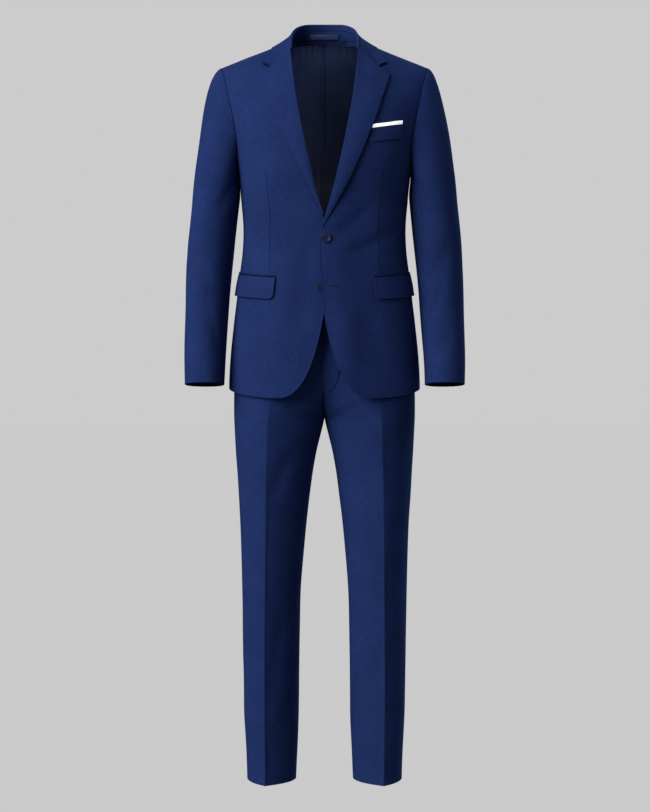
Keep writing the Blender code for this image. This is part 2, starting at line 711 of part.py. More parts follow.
# --- Sleeves --------------------------------------------------------------------------------------
def sleeve_tube(turn, drop):
    """A point of the left sleeve's tube: turn 0 is its outer line and a quarter is its front."""
    inner = read(SLEEVE, "inner", drop)
    outer = read(SLEEVE, "outer", drop)
    front = read(SLEEVE, "front", drop)
    back = read(SLEEVE, "back", drop)
    across = copysign(abs(cos(turn)) ** (2 / SLEEVE_SQUARE), cos(turn)) * (outer - inner) / 2
    along = copysign(abs(sin(turn)) ** (2 / SLEEVE_SQUARE), sin(turn)) * (back - front) / 2
    return Vector(((inner + outer) / 2 + across, (front + back) / 2 - along,
                   -drop - CUFF_TILT * -along * ramp(SLEEVE[0].drop, CUFF_DROP, drop)))


def armhole_ring(turn):
    """The armhole as the sleeve sees it: turn 0 is the shoulder and half a turn the underarm."""
    turn = turn % (2 * pi)
    behind = turn > pi
    part = (2 * pi - turn if behind else turn) / pi
    return torso(*armhole(part, behind))


def sleeve_start(turn):
    """The way, and the strength, with which the sleeve's cloth leaves the armhole."""
    top = (1 + cos(turn)) / 2
    down = CAP_DOWN + CAP_SIDE_DOWN * sin(turn) ** 2 + CAP_UNDER_DOWN * (1 - top)
    return Vector((CAP_OUT * top, -CAP_TURN * sin(turn), -down))


def sleeve_point(turn, v):
    """v goes from the cuff to the armhole."""
    if v <= TUBE_SHARE:
        return sleeve_tube(turn, mix(CUFF_DROP, SLEEVE[0].drop, v / TUBE_SHARE))
    t = (1 - v) / (1 - TUBE_SHARE)
    ring = armhole_ring(turn)
    start = sleeve_start(turn)
    ring = ring + start.normalized() * SLEEVE_GAP
    end = sleeve_tube(turn, SLEEVE[0].drop)
    below = sleeve_tube(turn, SLEEVE[0].drop + CAP_STEP)
    pull = (below - end).normalized() * (end - ring).length * CAP_PULL
    start = start * min(1.0, (end - ring).length / CAP_REACH)
    point = ring * (2 * t**3 - 3 * t**2 + 1) + start * (t**3 - 2 * t**2 + t)
    return point + end * (3 * t**2 - 2 * t**3) + pull * (t**3 - t**2)


def sleeve_patch(turns):
    def place(u, v):
        return sleeve_point(between(turns, u), v)

    return place


def make_sleeves():
    gap = SLEEVE_SEAM_ANGLE
    for side, sign in SIDES.items():
        top = sleeve_patch([HINDARM_SEAM - 2 * pi + gap, *TOP_TURNS, FOREARM_SEAM - gap])
        under = sleeve_patch((FOREARM_SEAM + gap, HINDARM_SEAM - gap))
        wall(f"top_sleeve_{side}", mirrored(top, side), len(TOP_TURNS) + 1, 11, CLOTH, -sign)
        wall(f"under_sleeve_{side}", mirrored(under, side), 8, 11, CLOTH, -sign)


# --- Pockets --------------------------------------------------------------------------------------
def pocket_spot(along, below, lean=0.0):
    """A point below the top line of a lower pocket, this share of the way from its front end."""
    drop = POCKET_DROP - POCKET_RISE * along + below
    start = angle_at(POCKET_OUT + lean, drop)
    return torso(mix(start, POCKET_END_ANGLE, along), drop)


def jet_patch(u, v):
    return pocket_spot(u, JET_HIGH * (1 - v))


def flap_patch(u, v):
    below = FLAP_HIGH * (1 - v)
    in_corner = max((below - FLAP_HIGH + FLAP_CORNER) / FLAP_CORNER, 0.0)
    lean = FLAP_SLANT * (1 - v) + FLAP_CORNER * FLAP_ROUND * in_corner**2
    return pocket_spot(u, JET_HIGH + SEAM + below, lean)


def flap_out(u, v):
    stands = ON_TOP + FLAP_THICK + FLAP_STANDS * (1 - v)
    return flap_patch(u, v) + normal_of(flap_patch, u, v, 1) * stands


def welt_line(along, above):
    """A point this far above the top line of the breast welt."""
    lean = WELT_LEAN * mix(1.0, WELT_END_LEAN, along)
    out = WELT_OUT + WELT_WIDE * along + lean * above / WELT_HIGH
    drop = WELT_TOP_DROP - WELT_RISE * (out - WELT_OUT) - above
    return on_torso(out, drop)


def welt_patch(u, v):
    return welt_line(u, -WELT_HIGH * (1 - v))


def square_patch(u, v):
    along = (SQUARE_START + SQUARE_WIDE * u) / WELT_WIDE
    return welt_line(along, mix(SEAM, SQUARE_HIGH, v))


def make_pockets():
    for side, sign in SIDES.items():
        jet = moved(jet_patch, ON_TOP + CLOTH, 1)
        wall(f"jet_{side}", mirrored(jet, side), 8, 1, CLOTH, sign)
        wall(f"flap_{side}", mirrored(flap_out, side), 9, 5, FLAP_THICK, sign)
    wall("breast_welt", moved(welt_patch, ON_TOP + CLOTH, 1), 4, 1, CLOTH, 1)
    wall("pocket_square", moved(square_patch, ON_TOP + LINING, 1), 4, 1, LINING, 1, "light_cotton")


# --- Buttons --------------------------------------------------------------------------------------
def button(name, spot, lift):
    """A round button with four holes, lying on a front."""
    mesh = bmesh.new()
    bmesh.ops.create_cone(mesh, cap_ends=True, segments=28, radius1=BUTTON_RADIUS,
                          radius2=BUTTON_RADIUS, depth=BUTTON_HIGH)
    body = add(name, mesh, "button_horn")
    out, drop = spot
    way = out_of_torso(out, drop)
    body.location = on_torso(out, drop) + way * (lift + BUTTON_HIGH / 2)
    body.rotation_euler = way.to_track_quat("Z", "Y").to_euler()
    holes = bmesh.new()
    for turn in range(4):
        angle = pi / 4 + turn * pi / 2
        made = bmesh.ops.create_cone(holes, cap_ends=True, segments=8, radius1=BUTTON_HOLE,
                                     radius2=BUTTON_HOLE, depth=BUTTON_HIGH * 3)
        shift = Vector((cos(angle), sin(angle), 0)) * BUTTON_HOLE_OUT
        bmesh.ops.translate(holes, verts=made["verts"], vec=shift)
    data = bpy.data.meshes.new(f"{name}_holes")
    holes.to_mesh(data)
    holes.free()
    cutter = bpy.data.objects.new(f"{name}_holes", data)
    cutter.location = body.location
    cutter.rotation_euler = body.rotation_euler
    cutter.hide_render = True
    cutter.display_type = "WIRE"
    cutters.objects.link(cutter)
    cut = body.modifiers.new("Holes", "BOOLEAN")
    cut.operation = "DIFFERENCE"
    cut.solver = "EXACT"
    cut.object = cutter


def make_buttons():
    button("button_top", TOP_BUTTON, LAP_LIFT + ON_TOP)
    button("button_low", LOW_BUTTON, SEAM * 2)


# --- Trousers -------------------------------------------------------------------------------------
def leg_point(drop, part, behind):
    """A point of the left leg: part goes from the inner line (0) by the crease to the outer (1)."""
    crease_out = read(LEG, "crease", drop) - (BACK_CREASE_IN if behind else 0.0)
    crease_y = read(LEG, "back" if behind else "front", drop)
    away = sin(abs(2 * part - 1) * pi / 2)
    swell = (1 - away) ** 0.5 * (1 + read(LEG, "round", drop) * away)
    if part < 0.5:
        edge_out = read(LEG, "inner", drop)
        edge_y = read(LEG, "inner_back" if behind else "inner_front", drop)
        joined = ramp(CROTCH_DROP, LEGS_JOINED, drop)
        swell = mix(swell, (2 * part) * (2 - 2 * part), joined)
        away = mix(away, 1 - 2 * part, joined)
    else:
        edge_out = read(LEG, "outer", drop)
        edge_y = read(LEG, "side", drop)
    shift = SEAM / 2 if behind else -SEAM / 2
    return Vector((mix(crease_out, edge_out, away), mix(edge_y, crease_y, swell) + shift, -drop))


def leg_patch(behind):
    def place(u, v):
        return leg_point(between(LEG_ROWS, v), u, behind)

    return place


def band_patch(u, v):
    """Half of the waistband, from the centre front round to the centre back."""
    drop = mix(WAIST_SEAM_DROP - BAND_GAP, WAIST_TOP_DROP, v)
    behind = u > 0.5
    point = leg_point(drop, 2 * (1 - u) if behind else 2 * u, behind)
    point.y -= SEAM / 2 if behind else -SEAM / 2
    return point


def fly_patch(u, v):
    """The fly, which laps over the centre front: its outer side curves in to its foot."""
    drop = between(FLY_ROWS, v)
    into_curve = max((drop - FLY_CURVE_DROP) / (FLY_END_DROP - FLY_CURVE_DROP), 0.0)
    out = mix(FLY_RIGHT, FLY_LEFT, u)
    if out > 0:
        out *= (1 - (FLY_FOOT * into_curve) ** 2) ** 0.5
    part = abs(out) / read(LEG, "crease", drop) / 2
    point = leg_point(drop, part, False)
    point.x = out
    return point


def make_trousers():
    rows = len(LEG_ROWS) - 1
    for side, sign in SIDES.items():
        front = mirrored(leg_patch(False), side)
        back = mirrored(leg_patch(True), side)
        band = mirrored(band_patch, side)
        wall(f"trouser_front_{side}", front, 8, rows, CLOTH, sign, half=sign)
        wall(f"trouser_back_{side}", back, 8, rows, CLOTH, -sign, half=sign)
        wall(f"waistband_{side}", band, 12, 1, CLOTH, sign, half=sign)
    wall("fly", moved(fly_patch, ON_TOP + FLY_THICK, 1), 4, len(FLY_ROWS) - 1, FLY_THICK, 1)


# --- The suit -------------------------------------------------------------------------------------
def make_material(name, finish):
    material = bpy.data.materials.new(name)
    material.use_nodes = True
    shader = material.node_tree.nodes["Principled BSDF"]
    shader.inputs["Base Color"].default_value = (finish.red, finish.green, finish.blue, 1)
    shader.inputs["Roughness"].default_value = finish.rough
    shader.inputs["Metallic"].default_value = 0.0
    return material


for old in list(bpy.data.objects):
    bpy.data.objects.remove(old, do_unlink=True)
suit = bpy.data.collections.new("two_piece_suit")
cutters = bpy.data.collections.new("cutters")
bpy.context.scene.collection.children.link(suit)
bpy.context.scene.collection.children.link(cutters)
materials = {name: make_material(name, finish) for name, finish in FINISHES.items()}

make_body()
make_inside()
make_collar()
make_sleeves()
make_pockets()
make_buttons()
make_trousers()
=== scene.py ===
"""The looks of a two-piece suit in navy wool: cloth, lining, collar, sleeves, pockets, buttons,
trousers, and a plain studio around them.

Each piece of cloth is a thin wall on the same surface as its solid. Its creases are laid on
as soft troughs and ridges. Heights are drops below the nape, which is the origin.
"""

from collections import namedtuple
from math import pi, radians

import bmesh
import bpy
import numpy as np
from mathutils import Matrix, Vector


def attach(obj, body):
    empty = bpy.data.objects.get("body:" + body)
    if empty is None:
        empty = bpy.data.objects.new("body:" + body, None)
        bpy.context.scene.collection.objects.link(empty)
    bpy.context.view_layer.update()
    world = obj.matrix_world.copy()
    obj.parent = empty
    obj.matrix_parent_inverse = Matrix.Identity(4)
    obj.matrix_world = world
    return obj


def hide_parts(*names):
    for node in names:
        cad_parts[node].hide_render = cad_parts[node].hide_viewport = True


bl_info = {
    "name": "Two-piece suit",
    "version": (1, 0, 0),
    "blender": (4, 5, 0),
    "location": "View3D > Sidebar > Suit",
    "description": "Makes the cloth, trim and studio of a two-piece suit",
    "category": "Object",
}

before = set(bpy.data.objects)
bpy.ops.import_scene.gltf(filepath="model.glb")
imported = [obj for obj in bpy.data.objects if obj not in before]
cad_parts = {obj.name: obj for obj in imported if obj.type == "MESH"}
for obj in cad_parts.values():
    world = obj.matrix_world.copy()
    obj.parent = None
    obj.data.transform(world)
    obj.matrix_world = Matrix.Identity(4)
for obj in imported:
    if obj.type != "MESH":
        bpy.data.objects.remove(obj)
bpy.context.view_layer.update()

# --- Cloth and seams, in metres -------------------------------------------------------------------
CLOTH = 0.0016
LINING = 0.0010
SEAM = 0.0003
SEAM_ANGLE = radians(0.04)
ON_TOP = 0.0006
SEAM_DIP = 0.0006  # how far cloth dips into a seam
SEAM_DIP_WIDE = 0.0012
BEAD = 0.0007  # how far a turned edge stands up
BEAD_WIDE = 0.0016
# Shade painted into the cloth's colour along seams and darts, and under lapels and collar tips.
SEAM_SHADE_WIDE = 0.0022  # how far the shade painted along a seam reaches
SEAM_SHADE_START = 0.12  # the share of that which is darkest
SEAM_SHADE_DARKEST = 0.25
SEAM_CALM = 0.015  # creases fade out this near to a seam
FAR_FROM_SEAM = 1.0
EDGE_SHARP = radians(40)  # cloth is shaded smooth up to this bend
RIM_BULGE = 0.4  # the share of its thickness that a wall's edge stands out

# --- Jacket ---------------------------------------------------------------------------------------
Torso = namedtuple("Torso", "drop half front back middle square")
TORSO = (
    Torso(-0.040, 0.2750, -0.188, 0.088, -0.058, 2.40),
    Torso(0.000, 0.2620, -0.192, 0.084, -0.060, 2.40),
    Torso(0.050, 0.2470, -0.199, 0.068, -0.063, 2.40),
    Torso(0.100, 0.2315, -0.206, 0.063, -0.067, 2.40),
    Torso(0.170, 0.2105, -0.212, 0.058, -0.078, 2.40),
    Torso(0.230, 0.1918, -0.214, 0.049, -0.084, 2.40),
    Torso(0.300, 0.1775, -0.212, 0.038, -0.087, 2.40),
    Torso(0.345, 0.1726, -0.206, 0.027, -0.089, 2.40),
    Torso(0.410, 0.1685, -0.199, 0.013, -0.092, 2.35),
    Torso(0.450, 0.1699, -0.197, 0.011, -0.092, 2.30),
    Torso(0.500, 0.1755, -0.197, 0.016, -0.091, 2.30),
    Torso(0.550, 0.1820, -0.198, 0.025, -0.089, 2.25),
    Torso(0.600, 0.1885, -0.200, 0.033, -0.087, 2.25),
    Torso(0.660, 0.1940, -0.203, 0.042, -0.084, 2.25),
    Torso(0.735, 0.1978, -0.206, 0.046, -0.083, 2.25),
    Torso(0.765, 0.1984, -0.207, 0.046, -0.083, 2.25),
)
Ridge = namedtuple("Ridge", "out rise")
RIDGE = (
    Ridge(-0.0450, 0.0220),
    Ridge(0.0000, 0.0300),
    Ridge(0.0450, 0.0220),
    Ridge(0.0780, -0.0100),
    Ridge(0.1075, -0.0248),
    Ridge(0.1600, -0.0459),
    Ridge(0.2135, -0.0674),
    Ridge(0.2800, -0.0941),
)
CHEST_DROP = 0.300
FRONT_ARCH = 1.8
BACK_ARCH = 2.0
TORSO_STEP = 0.0008  # between points that give its slope
CLIMB_ROUNDS = 8

NECK_OUT = 0.078
NECK_DROP = 0.010
SHOULDER_OUT = 0.2135
ARMHOLE_BOTTOM = 0.286
ARMHOLE_TOP_ANGLE = radians(60.4)
ARMHOLE_BEND = 1.2
ARMHOLE_FADE = 0.03  # its line fades out this far above its bottom

SIDE_FRONT_ANGLE = radians(70)
SIDE_BACK_ANGLE = pi - SIDE_FRONT_ANGLE
HEM_FRONT_DROP = 0.7565
HEM_BACK_DROP = 0.7300
HEM_RISE_START = radians(20)
HEM_RISE_END = radians(120)
LOW_SHARE = 0.64  # the share of a panel's rows below the armhole
ROW_BUNCH = 1.2

Edge = namedtuple("Edge", "drop right left")
EDGE = (
    Edge(0.0100, 0.0780, 0.0780),
    Edge(0.0384, 0.0715, 0.0715),
    Edge(0.0930, 0.0660, 0.0660),
    Edge(0.1470, 0.0590, 0.0590),
    Edge(0.1990, 0.0500, 0.0500),
    Edge(0.2450, 0.0408, 0.0408),
    Edge(0.2980, 0.0284, 0.0284),
    Edge(0.3500, 0.0150, 0.0150),
    Edge(0.3880, 0.0040, 0.0040),
    Edge(0.4120, -0.0100, -0.0068),
    Edge(0.4450, -0.0195, -0.0105),
    Edge(0.4830, -0.0200, -0.0095),
    Edge(0.5200, -0.0185, -0.0045),
    Edge(0.5500, -0.0110, -0.0025),
    Edge(0.5750, 0.0012, -0.0012),
)
CUTAWAY_DROP = 0.575
CUTAWAY_OUT = 0.0975
CUTAWAY_START = 1.25
CUTAWAY_TURN = 0.40
LAP_LIFT = 0.0052
LAP_INNER = 0.022
LAP_OUTER = 0.085
LAP_TOP = 0.260
LAP_FULL = 0.395

Lapel = namedtuple("Lapel", "drop roll right left")
LAPEL = (
    Lapel(0.0384, 0.0680, 0.1400, 0.1400),
    Lapel(0.0930, 0.0625, 0.1320, 0.1320),
    Lapel(0.1470, 0.0557, 0.1154, 0.1156),
    Lapel(0.1990, 0.0467, 0.0940, 0.0974),
    Lapel(0.2450, 0.0376, 0.0728, 0.0790),
    Lapel(0.2980, 0.0252, 0.0471, 0.0566),
    Lapel(0.3500, 0.0120, 0.0213, 0.0304),
    Lapel(0.3860, 0.0012, 0.0036, 0.0105),
    Lapel(0.4120, -0.0068, -0.0060, -0.0056),
)
GORGE_DROP = 0.0384
NOTCH = (0.1072, 0.0765)
LAPEL_TIP = (0.1320, 0.0935)
COLLAR_TIP = (0.1260, 0.0653)
LAPEL_END = {"right": 0.385, "left": 0.410}
LAPEL_THICK = 0.0020
LAPEL_ROLL = 0.0014  # radius of its roll
ROLL_SHARE = 0.16  # the share of its columns that turn under at the roll
ROLL_UNDER = radians(165)
LAPEL_EDGE_LIFT = {"right": 0.0016, "left": 0.0050}  # how far its outer edge stands off
LAPEL_LIFT_START = 0.04  # shares of its length
LAPEL_LIFT_FULL = 0.3
LAPEL_NARROW = 0.25  # it narrows to its foot below this share of its length
LAPEL_LEAST_WIDE = 0.0004
LAPEL_FOOT_ROLL = 0.45  # the share of the roll's radius that is left at the foot
LAPEL_ROLL_HIGH = 0.0030
LAPEL_BULGE = 0.0016
LAPEL_TOP_START = 0.7  # from here on its edge settles toward the collar
LAPEL_TOP_LIFT = 0.6
LAPEL_TOP_BEND = 8  # how late its top bends to the notch
LAPEL_SIDE_STEP = 0.001
LAPEL_COLUMNS = (14, 50)  # round the roll, then out to the edge

Crease = namedtuple("Crease", "along x y z")
CREASE = (
    Crease(-0.22, -0.0350, -0.012, 0.0325),
    Crease(0.00, 0.0000, -0.004, 0.0340),
    Crease(0.22, 0.0350, -0.012, 0.0325),
    Crease(0.42, 0.0580, -0.034, 0.0225),
    Crease(0.60, 0.0670, -0.062, 0.0060),
    Crease(0.80, 0.0690, -0.093, -0.0140),
    Crease(1.00, 0.0685, -0.119, -0.0330),
)
COLLAR_EDGE_OUT = 0.1075
COLLAR_BACK_DROP = 0.014
COLLAR_THICK = 0.0013
COLLAR_FOLD = 0.0030
COLLAR_INSIDE = 0.010
COLLAR_END_INSIDE = 0.25  # the share of it at the front end
COLLAR_BACK_BULGE = 0.003
COLLAR_SIDE_BULGE = -0.0012  # hollow over the shoulder
COLLAR_BULGE_BACK = 0.15  # shares of its length between which the bulge changes
COLLAR_BULGE_SIDE = 0.45
COLLAR_TIP_LIFT = 0.0034
COLLAR_LIFT_START = 0.45  # shares of its front end between which it lifts
COLLAR_LIFT_END = 0.75
COLLAR_CLEAR = 0.0006
COLLAR_FLAT = 0.70
GORGE_GAP = 0.0007
STAND_GAP = 0.0004
NECK_CENTRE_Y = -0.060
NOTCH_SHARE = 0.60
NOTCH_SHADE_BELOW = 0.0012
SHADOW_LINE_HALF = 0.0009  # half the width of the shadow painted under a lapel's edge or a collar's tip
LINE_SOFT = 0.0013  # how much fainter it is on the side that the light comes from
LINE_HARD = 0.0013  # and how much wider on the other side
FOLD_START = 0.16
FOLD_END = 0.34
STAND_REACH = 0.62
SHOULDER_ALONG = 0.60

Sleeve = namedtuple("Sleeve", "drop inner outer front back")
SLEEVE = (
    Sleeve(0.344, 0.1757, 0.2746, -0.151, -0.024),
    Sleeve(0.448, 0.1866, 0.2839, -0.147, -0.024),
    Sleeve(0.552, 0.1962, 0.2881, -0.152, -0.038),
    Sleeve(0.656, 0.2024, 0.2892, -0.166, -0.059),
    Sleeve(0.740, 0.2066, 0.2876, -0.181, -0.078),
)
CUFF_DROP = 0.728
CUFF_TILT = 0.08
SLEEVE_SQUARE = 2.2
SLEEVE_LAP = 0.0012  # how far its top goes into the armhole
SLEEVE_SEAM_ANGLE = radians(0.2)
TUBE_SHARE = 0.55
FOREARM_SEAM = radians(125)
HINDARM_SEAM = radians(290)
SLEEVE_RADIUS = 0.048  # turns a sleeve's angle into a distance for its creases
SLEEVE_SEAM_FADE = 0.10  # the share of its width where creases fade at the forearm seam
SLEEVE_TOP_FADE = 0.9  # and the share of its length where they start to fade at the top
CAP_OUT = 0.10  # how a sleeve's top sets off from the armhole
CAP_FORWARD = 0.035
CAP_DOWN = 0.02
CAP_SIDE_DOWN = 0.10
CAP_UNDER_DOWN = 0.04
CAP_REACH = 0.12  # a shorter top sets off less
CAP_PULL = 0.9  # how strongly it then follows the arm
CAP_STEP = 0.01

POCKET_DROP = 0.5065
POCKET_OUT = 0.1003
POCKET_END_ANGLE = radians(98)
POCKET_RISE = 0.014
JET_HIGH = 0.0040
JET_BULGE = 0.0008
FLAP_HIGH = 0.0440
FLAP_SLANT = 0.0035
FLAP_CORNER = 0.0110
FLAP_ROUND = 0.75  # how far in its corner is rounded, as a share
FLAP_THICK = 0.0022
FLAP_STANDS = 0.0024
FLAP_BULGE = 0.0008
WELT_OUT = 0.0945
WELT_WIDE = 0.0650
WELT_TOP_DROP = 0.2098
WELT_HIGH = 0.0285
WELT_RISE = 0.19
WELT_LEAN = 0.0080
WELT_END_LEAN = 0.4
SQUARE_START = 0.0012
SQUARE_WIDE = 0.0620
SQUARE_HIGH = 0.0072
SQUARE_CLEAR = 0.0008
SQUARE_WAVE = 0.0007
SQUARE_WAVE_TURN = 9  # how far its wave turns along it, in radians

BUTTON_RADIUS = 0.0104
BUTTON_HIGH = 0.0030
BUTTON_HOLE = 0.0010
BUTTON_HOLE_OUT = 0.0023
TOP_BUTTON = (0.0030, 0.4312)
LOW_BUTTON = (-0.0065, 0.5315)
TOP_BUTTON_CLEAR = 0.0008
LOW_BUTTON_CLEAR = 0.0005
BUTTON_SIDES = 64
BUTTON_HOLES = 4
BUTTON_HOLE_SIDES = 20
# Its section from the middle of its face to the middle of its back, as shares of radius and height.
BUTTON_PROFILE = (
    (0.0, 0.62), (0.40, 0.60), (0.62, 0.66), (0.72, 0.92), (0.80, 1.0), (0.90, 0.96),
    (0.98, 0.72), (1.0, 0.5), (0.96, 0.22), (0.80, 0.0), (0.0, 0.0),
)
SEWING_RADIUS = 0.00045
SEWING_SPOTS = 13
SEWING_ACROSS = 0.707  # the share of a hole's distance out that lies along each bar
SEWING_HIGH = 0.66  # shares of the button's height
SEWING_SINKS = 0.5
SEWING_LIFT = 0.0004
STITCH_RADIUS = 0.00042
STITCH_SPOTS = 72
BUTTONHOLE_HALF_WIDE = 0.0011
Buttonhole = namedtuple("Buttonhole", "name start end lift")
BUTTONHOLES = (
    Buttonhole("buttonhole_top", (0.0060, 0.4312), (0.0215, 0.4316), 0.0004),
    Buttonhole("buttonhole_low", (0.0075, 0.5296), (0.0288, 0.5296), 0.0004),
    Buttonhole("buttonhole_lapel", (0.0945, 0.1050), (0.1130, 0.1115), LAPEL_THICK + 0.0056),
)

LOOP_WIDE = 0.0590
LOOP_START = 0.10
LOOP_END = 0.62
LOOP_BOW = 0.0020
LOOP_ROUND = 0.0006
LINING_ACROSS = 0.875  # how far across the back its lining comes
LINING_ROWS = (0.05, 0.943)
LINING_CLEAR = 0.0012
Wave = namedtuple("Wave", "high long start full")  # start and full are the drops where it grows
LINING_SWELL = Wave(0.0012, 0.058, 0.05, 0.3)
LINING_RIPPLE = Wave(0.0004, 0.031, 0.03, 0.2)
LINING_TUCKS = Wave(0.0020, 0.012, 0.055, 0.010)
LINING_SWELL_LEAN = 2  # how far a wave turns with each metre down, in radians
LINING_RIPPLE_LEAN = 7
TUCK_UNEVEN = 2
TUCK_UNEVEN_TURN = 70
PLEAT_DEEP = 0.0022
PLEAT_WIDE = 0.012
PLEAT_LIP = 0.0015
PLEAT_LIP_WIDE = 0.0014
FACING_ACROSS = 0.25
FACING_ROWS = (0.943, 0.996)

# --- Trousers -------------------------------------------------------------------------------------
Leg = namedtuple("Leg", "drop inner outer crease front back inner_front inner_back side round")
LEG = (
    Leg(0.495, -0.0012, 0.1580, 0.085, -0.167, -0.010, -0.169, -0.014, -0.090, 0.50),
    Leg(0.600, -0.0012, 0.1755, 0.097, -0.176, 0.008, -0.176, 0.004, -0.086, 0.48),
    Leg(0.680, -0.0012, 0.1840, 0.105, -0.180, 0.018, -0.174, 0.010, -0.085, 0.42),
    Leg(0.730, -0.0012, 0.1872, 0.109, -0.180, 0.020, -0.163, 0.000, -0.085, 0.36),
    Leg(0.768, -0.0012, 0.1880, 0.112, -0.180, 0.019, -0.138, -0.026, -0.085, 0.32),
    Leg(0.790, -0.0010, 0.1879, 0.114, -0.179, 0.017, -0.104, -0.062, -0.085, 0.30),
    Leg(0.798, 0.0000, 0.1877, 0.115, -0.179, 0.016, -0.085, -0.085, -0.085, 0.30),
    Leg(0.833, 0.0083, 0.1860, 0.117, -0.178, 0.012, -0.085, -0.085, -0.085, 0.29),
    Leg(0.870, 0.0172, 0.1840, 0.118, -0.176, 0.008, -0.085, -0.085, -0.085, 0.28),
    Leg(0.925, 0.0265, 0.1800, 0.120, -0.173, 0.004, -0.085, -0.085, -0.085, 0.26),
    Leg(1.050, 0.0406, 0.1737, 0.121, -0.168, -0.001, -0.085, -0.085, -0.085, 0.24),
    Leg(1.175, 0.0500, 0.1706, 0.122, -0.164, -0.004, -0.084, -0.084, -0.084, 0.22),
    Leg(1.300, 0.0522, 0.1685, 0.123, -0.160, -0.003, -0.082, -0.082, -0.082, 0.20),
    Leg(1.400, 0.0532, 0.1668, 0.123, -0.156, -0.004, -0.081, -0.081, -0.081, 0.20),
    Leg(1.500, 0.0570, 0.1622, 0.122, -0.153, -0.006, -0.080, -0.080, -0.080, 0.20),
    Leg(1.550, 0.0592, 0.1605, 0.1215, -0.152, -0.006, -0.080, -0.080, -0.080, 0.20),
)
BACK_CREASE_IN = 0.014
WAIST_TOP_DROP = 0.5000
WAIST_SEAM_DROP = 0.5380
BAND_GAP = 0.0008
LEG_END_DROP = 1.5450
HEM_POINT = 0.0055  # how much lower the hem is at the front crease
CROTCH_DROP = 0.798
LEGS_JOINED = 0.742
LEG_RIDGE = 0.0011  # how far a pressed crease stands up
LEG_RIDGE_WIDE = 0.0042
LEG_RIDGE_START = 0.85
LEG_RIDGE_FULL = 1.15
LEG_PRESSED = 0.85  # how much pressing takes out of the folds by a crease
LEG_PRESSED_WIDE = 0.03
LEG_PRESSED_START = 0.74
LEG_PRESSED_FULL = 0.80
LEG_FOLDS_START = 0.55
LEG_FOLDS_FULL = 0.80
LEG_SEAM_FADE = 0.06
LEG_HEM_FADE = 0.02
FLY_RIGHT = -0.0036
FLY_LEFT = 0.0295
FLY_END_DROP = 0.7440
FLY_CURVE_DROP = 0.6950
FLY_THICK = 0.0012
FLY_FOOT = 0.97

# --- Creases: soft troughs (rise below 0) and ridges, from one place to another -------------------
# Places on a panel are distance out and drop; on a sleeve the turn in degrees stands for the first.
Fold = namedtuple("Fold", "out drop to_out to_drop wide rise bend")
FRONT_FOLDS = (
    Fold(0.024, 0.425, 0.090, 0.370, 0.013, -0.0022, 0.004),
    Fold(0.060, 0.455, 0.160, 0.405, 0.017, -0.0030, 0.006),
    Fold(0.090, 0.470, 0.165, 0.455, 0.014, -0.0016, 0.000),
    Fold(0.030, 0.450, 0.100, 0.425, 0.012, 0.0016, 0.004),
    Fold(0.100, 0.560, 0.125, 0.740, 0.028, -0.0032, 0.010),
    Fold(0.045, 0.580, 0.062, 0.720, 0.024, 0.0022, 0.004),
    Fold(-0.028, 0.455, -0.052, 0.620, 0.020, -0.0030, 0.006),
    Fold(-0.030, 0.430, -0.110, 0.385, 0.014, -0.0014, -0.004),
    Fold(-0.090, 0.560, -0.110, 0.730, 0.030, 0.0024, 0.004),
    Fold(-0.150, 0.300, -0.160, 0.430, 0.016, -0.0016, 0.000),
    Fold(0.158, 0.250, 0.150, 0.390, 0.018, -0.0024, 0.006),
    Fold(-0.176, 0.150, -0.150, 0.270, 0.014, -0.0016, 0.004),
    Fold(0.176, 0.150, 0.150, 0.290, 0.014, -0.0018, -0.004),
)
BACK_FOLDS = (
    Fold(0.020, 0.395, 0.140, 0.440, 0.016, -0.0026, 0.006),
    Fold(-0.025, 0.400, -0.135, 0.430, 0.015, -0.0022, -0.005),
    Fold(0.030, 0.435, 0.120, 0.485, 0.015, 0.0018, 0.004),
    Fold(0.165, 0.130, 0.120, 0.300, 0.016, -0.0026, 0.006),
    Fold(-0.165, 0.135, -0.125, 0.290, 0.017, -0.0024, -0.006),
    Fold(0.080, 0.520, 0.110, 0.700, 0.026, -0.0022, 0.006),
    Fold(-0.085, 0.530, -0.100, 0.690, 0.024, -0.0020, -0.006),
)
SLEEVE_FOLDS = {
    "right": (
        Fold(92, 0.545, 122, 0.640, 0.012, -0.0020, 0.004),
        Fold(70, 0.480, 128, 0.560, 0.014, -0.0022, 0.006),
        Fold(50, 0.600, 100, 0.700, 0.018, 0.0010, 0.004),
        Fold(150, 0.300, 100, 0.380, 0.014, -0.0026, 0.004),
        Fold(-80, 0.420, -10, 0.470, 0.016, -0.0024, 0.006),
        Fold(-95, 0.500, -30, 0.520, 0.014, -0.0022, -0.004),
        Fold(-100, 0.260, -60, 0.360, 0.016, -0.0024, 0.004),
    ),
    "left": (
        Fold(90, 0.500, 120, 0.590, 0.012, -0.0018, 0.003),
        Fold(60, 0.420, 125, 0.520, 0.014, -0.0024, 0.006),
        Fold(30, 0.180, 18, 0.330, 0.011, 0.0020, 0.003),
        Fold(150, 0.290, 105, 0.390, 0.014, -0.0028, 0.004),
        Fold(75, 0.610, 125, 0.690, 0.015, -0.0016, 0.003),
        Fold(-80, 0.430, -15, 0.490, 0.016, -0.0022, 0.006),
        Fold(-95, 0.520, -35, 0.540, 0.014, -0.0020, -0.004),
        Fold(-100, 0.270, -62, 0.350, 0.016, -0.0022, 0.004),
    ),
}
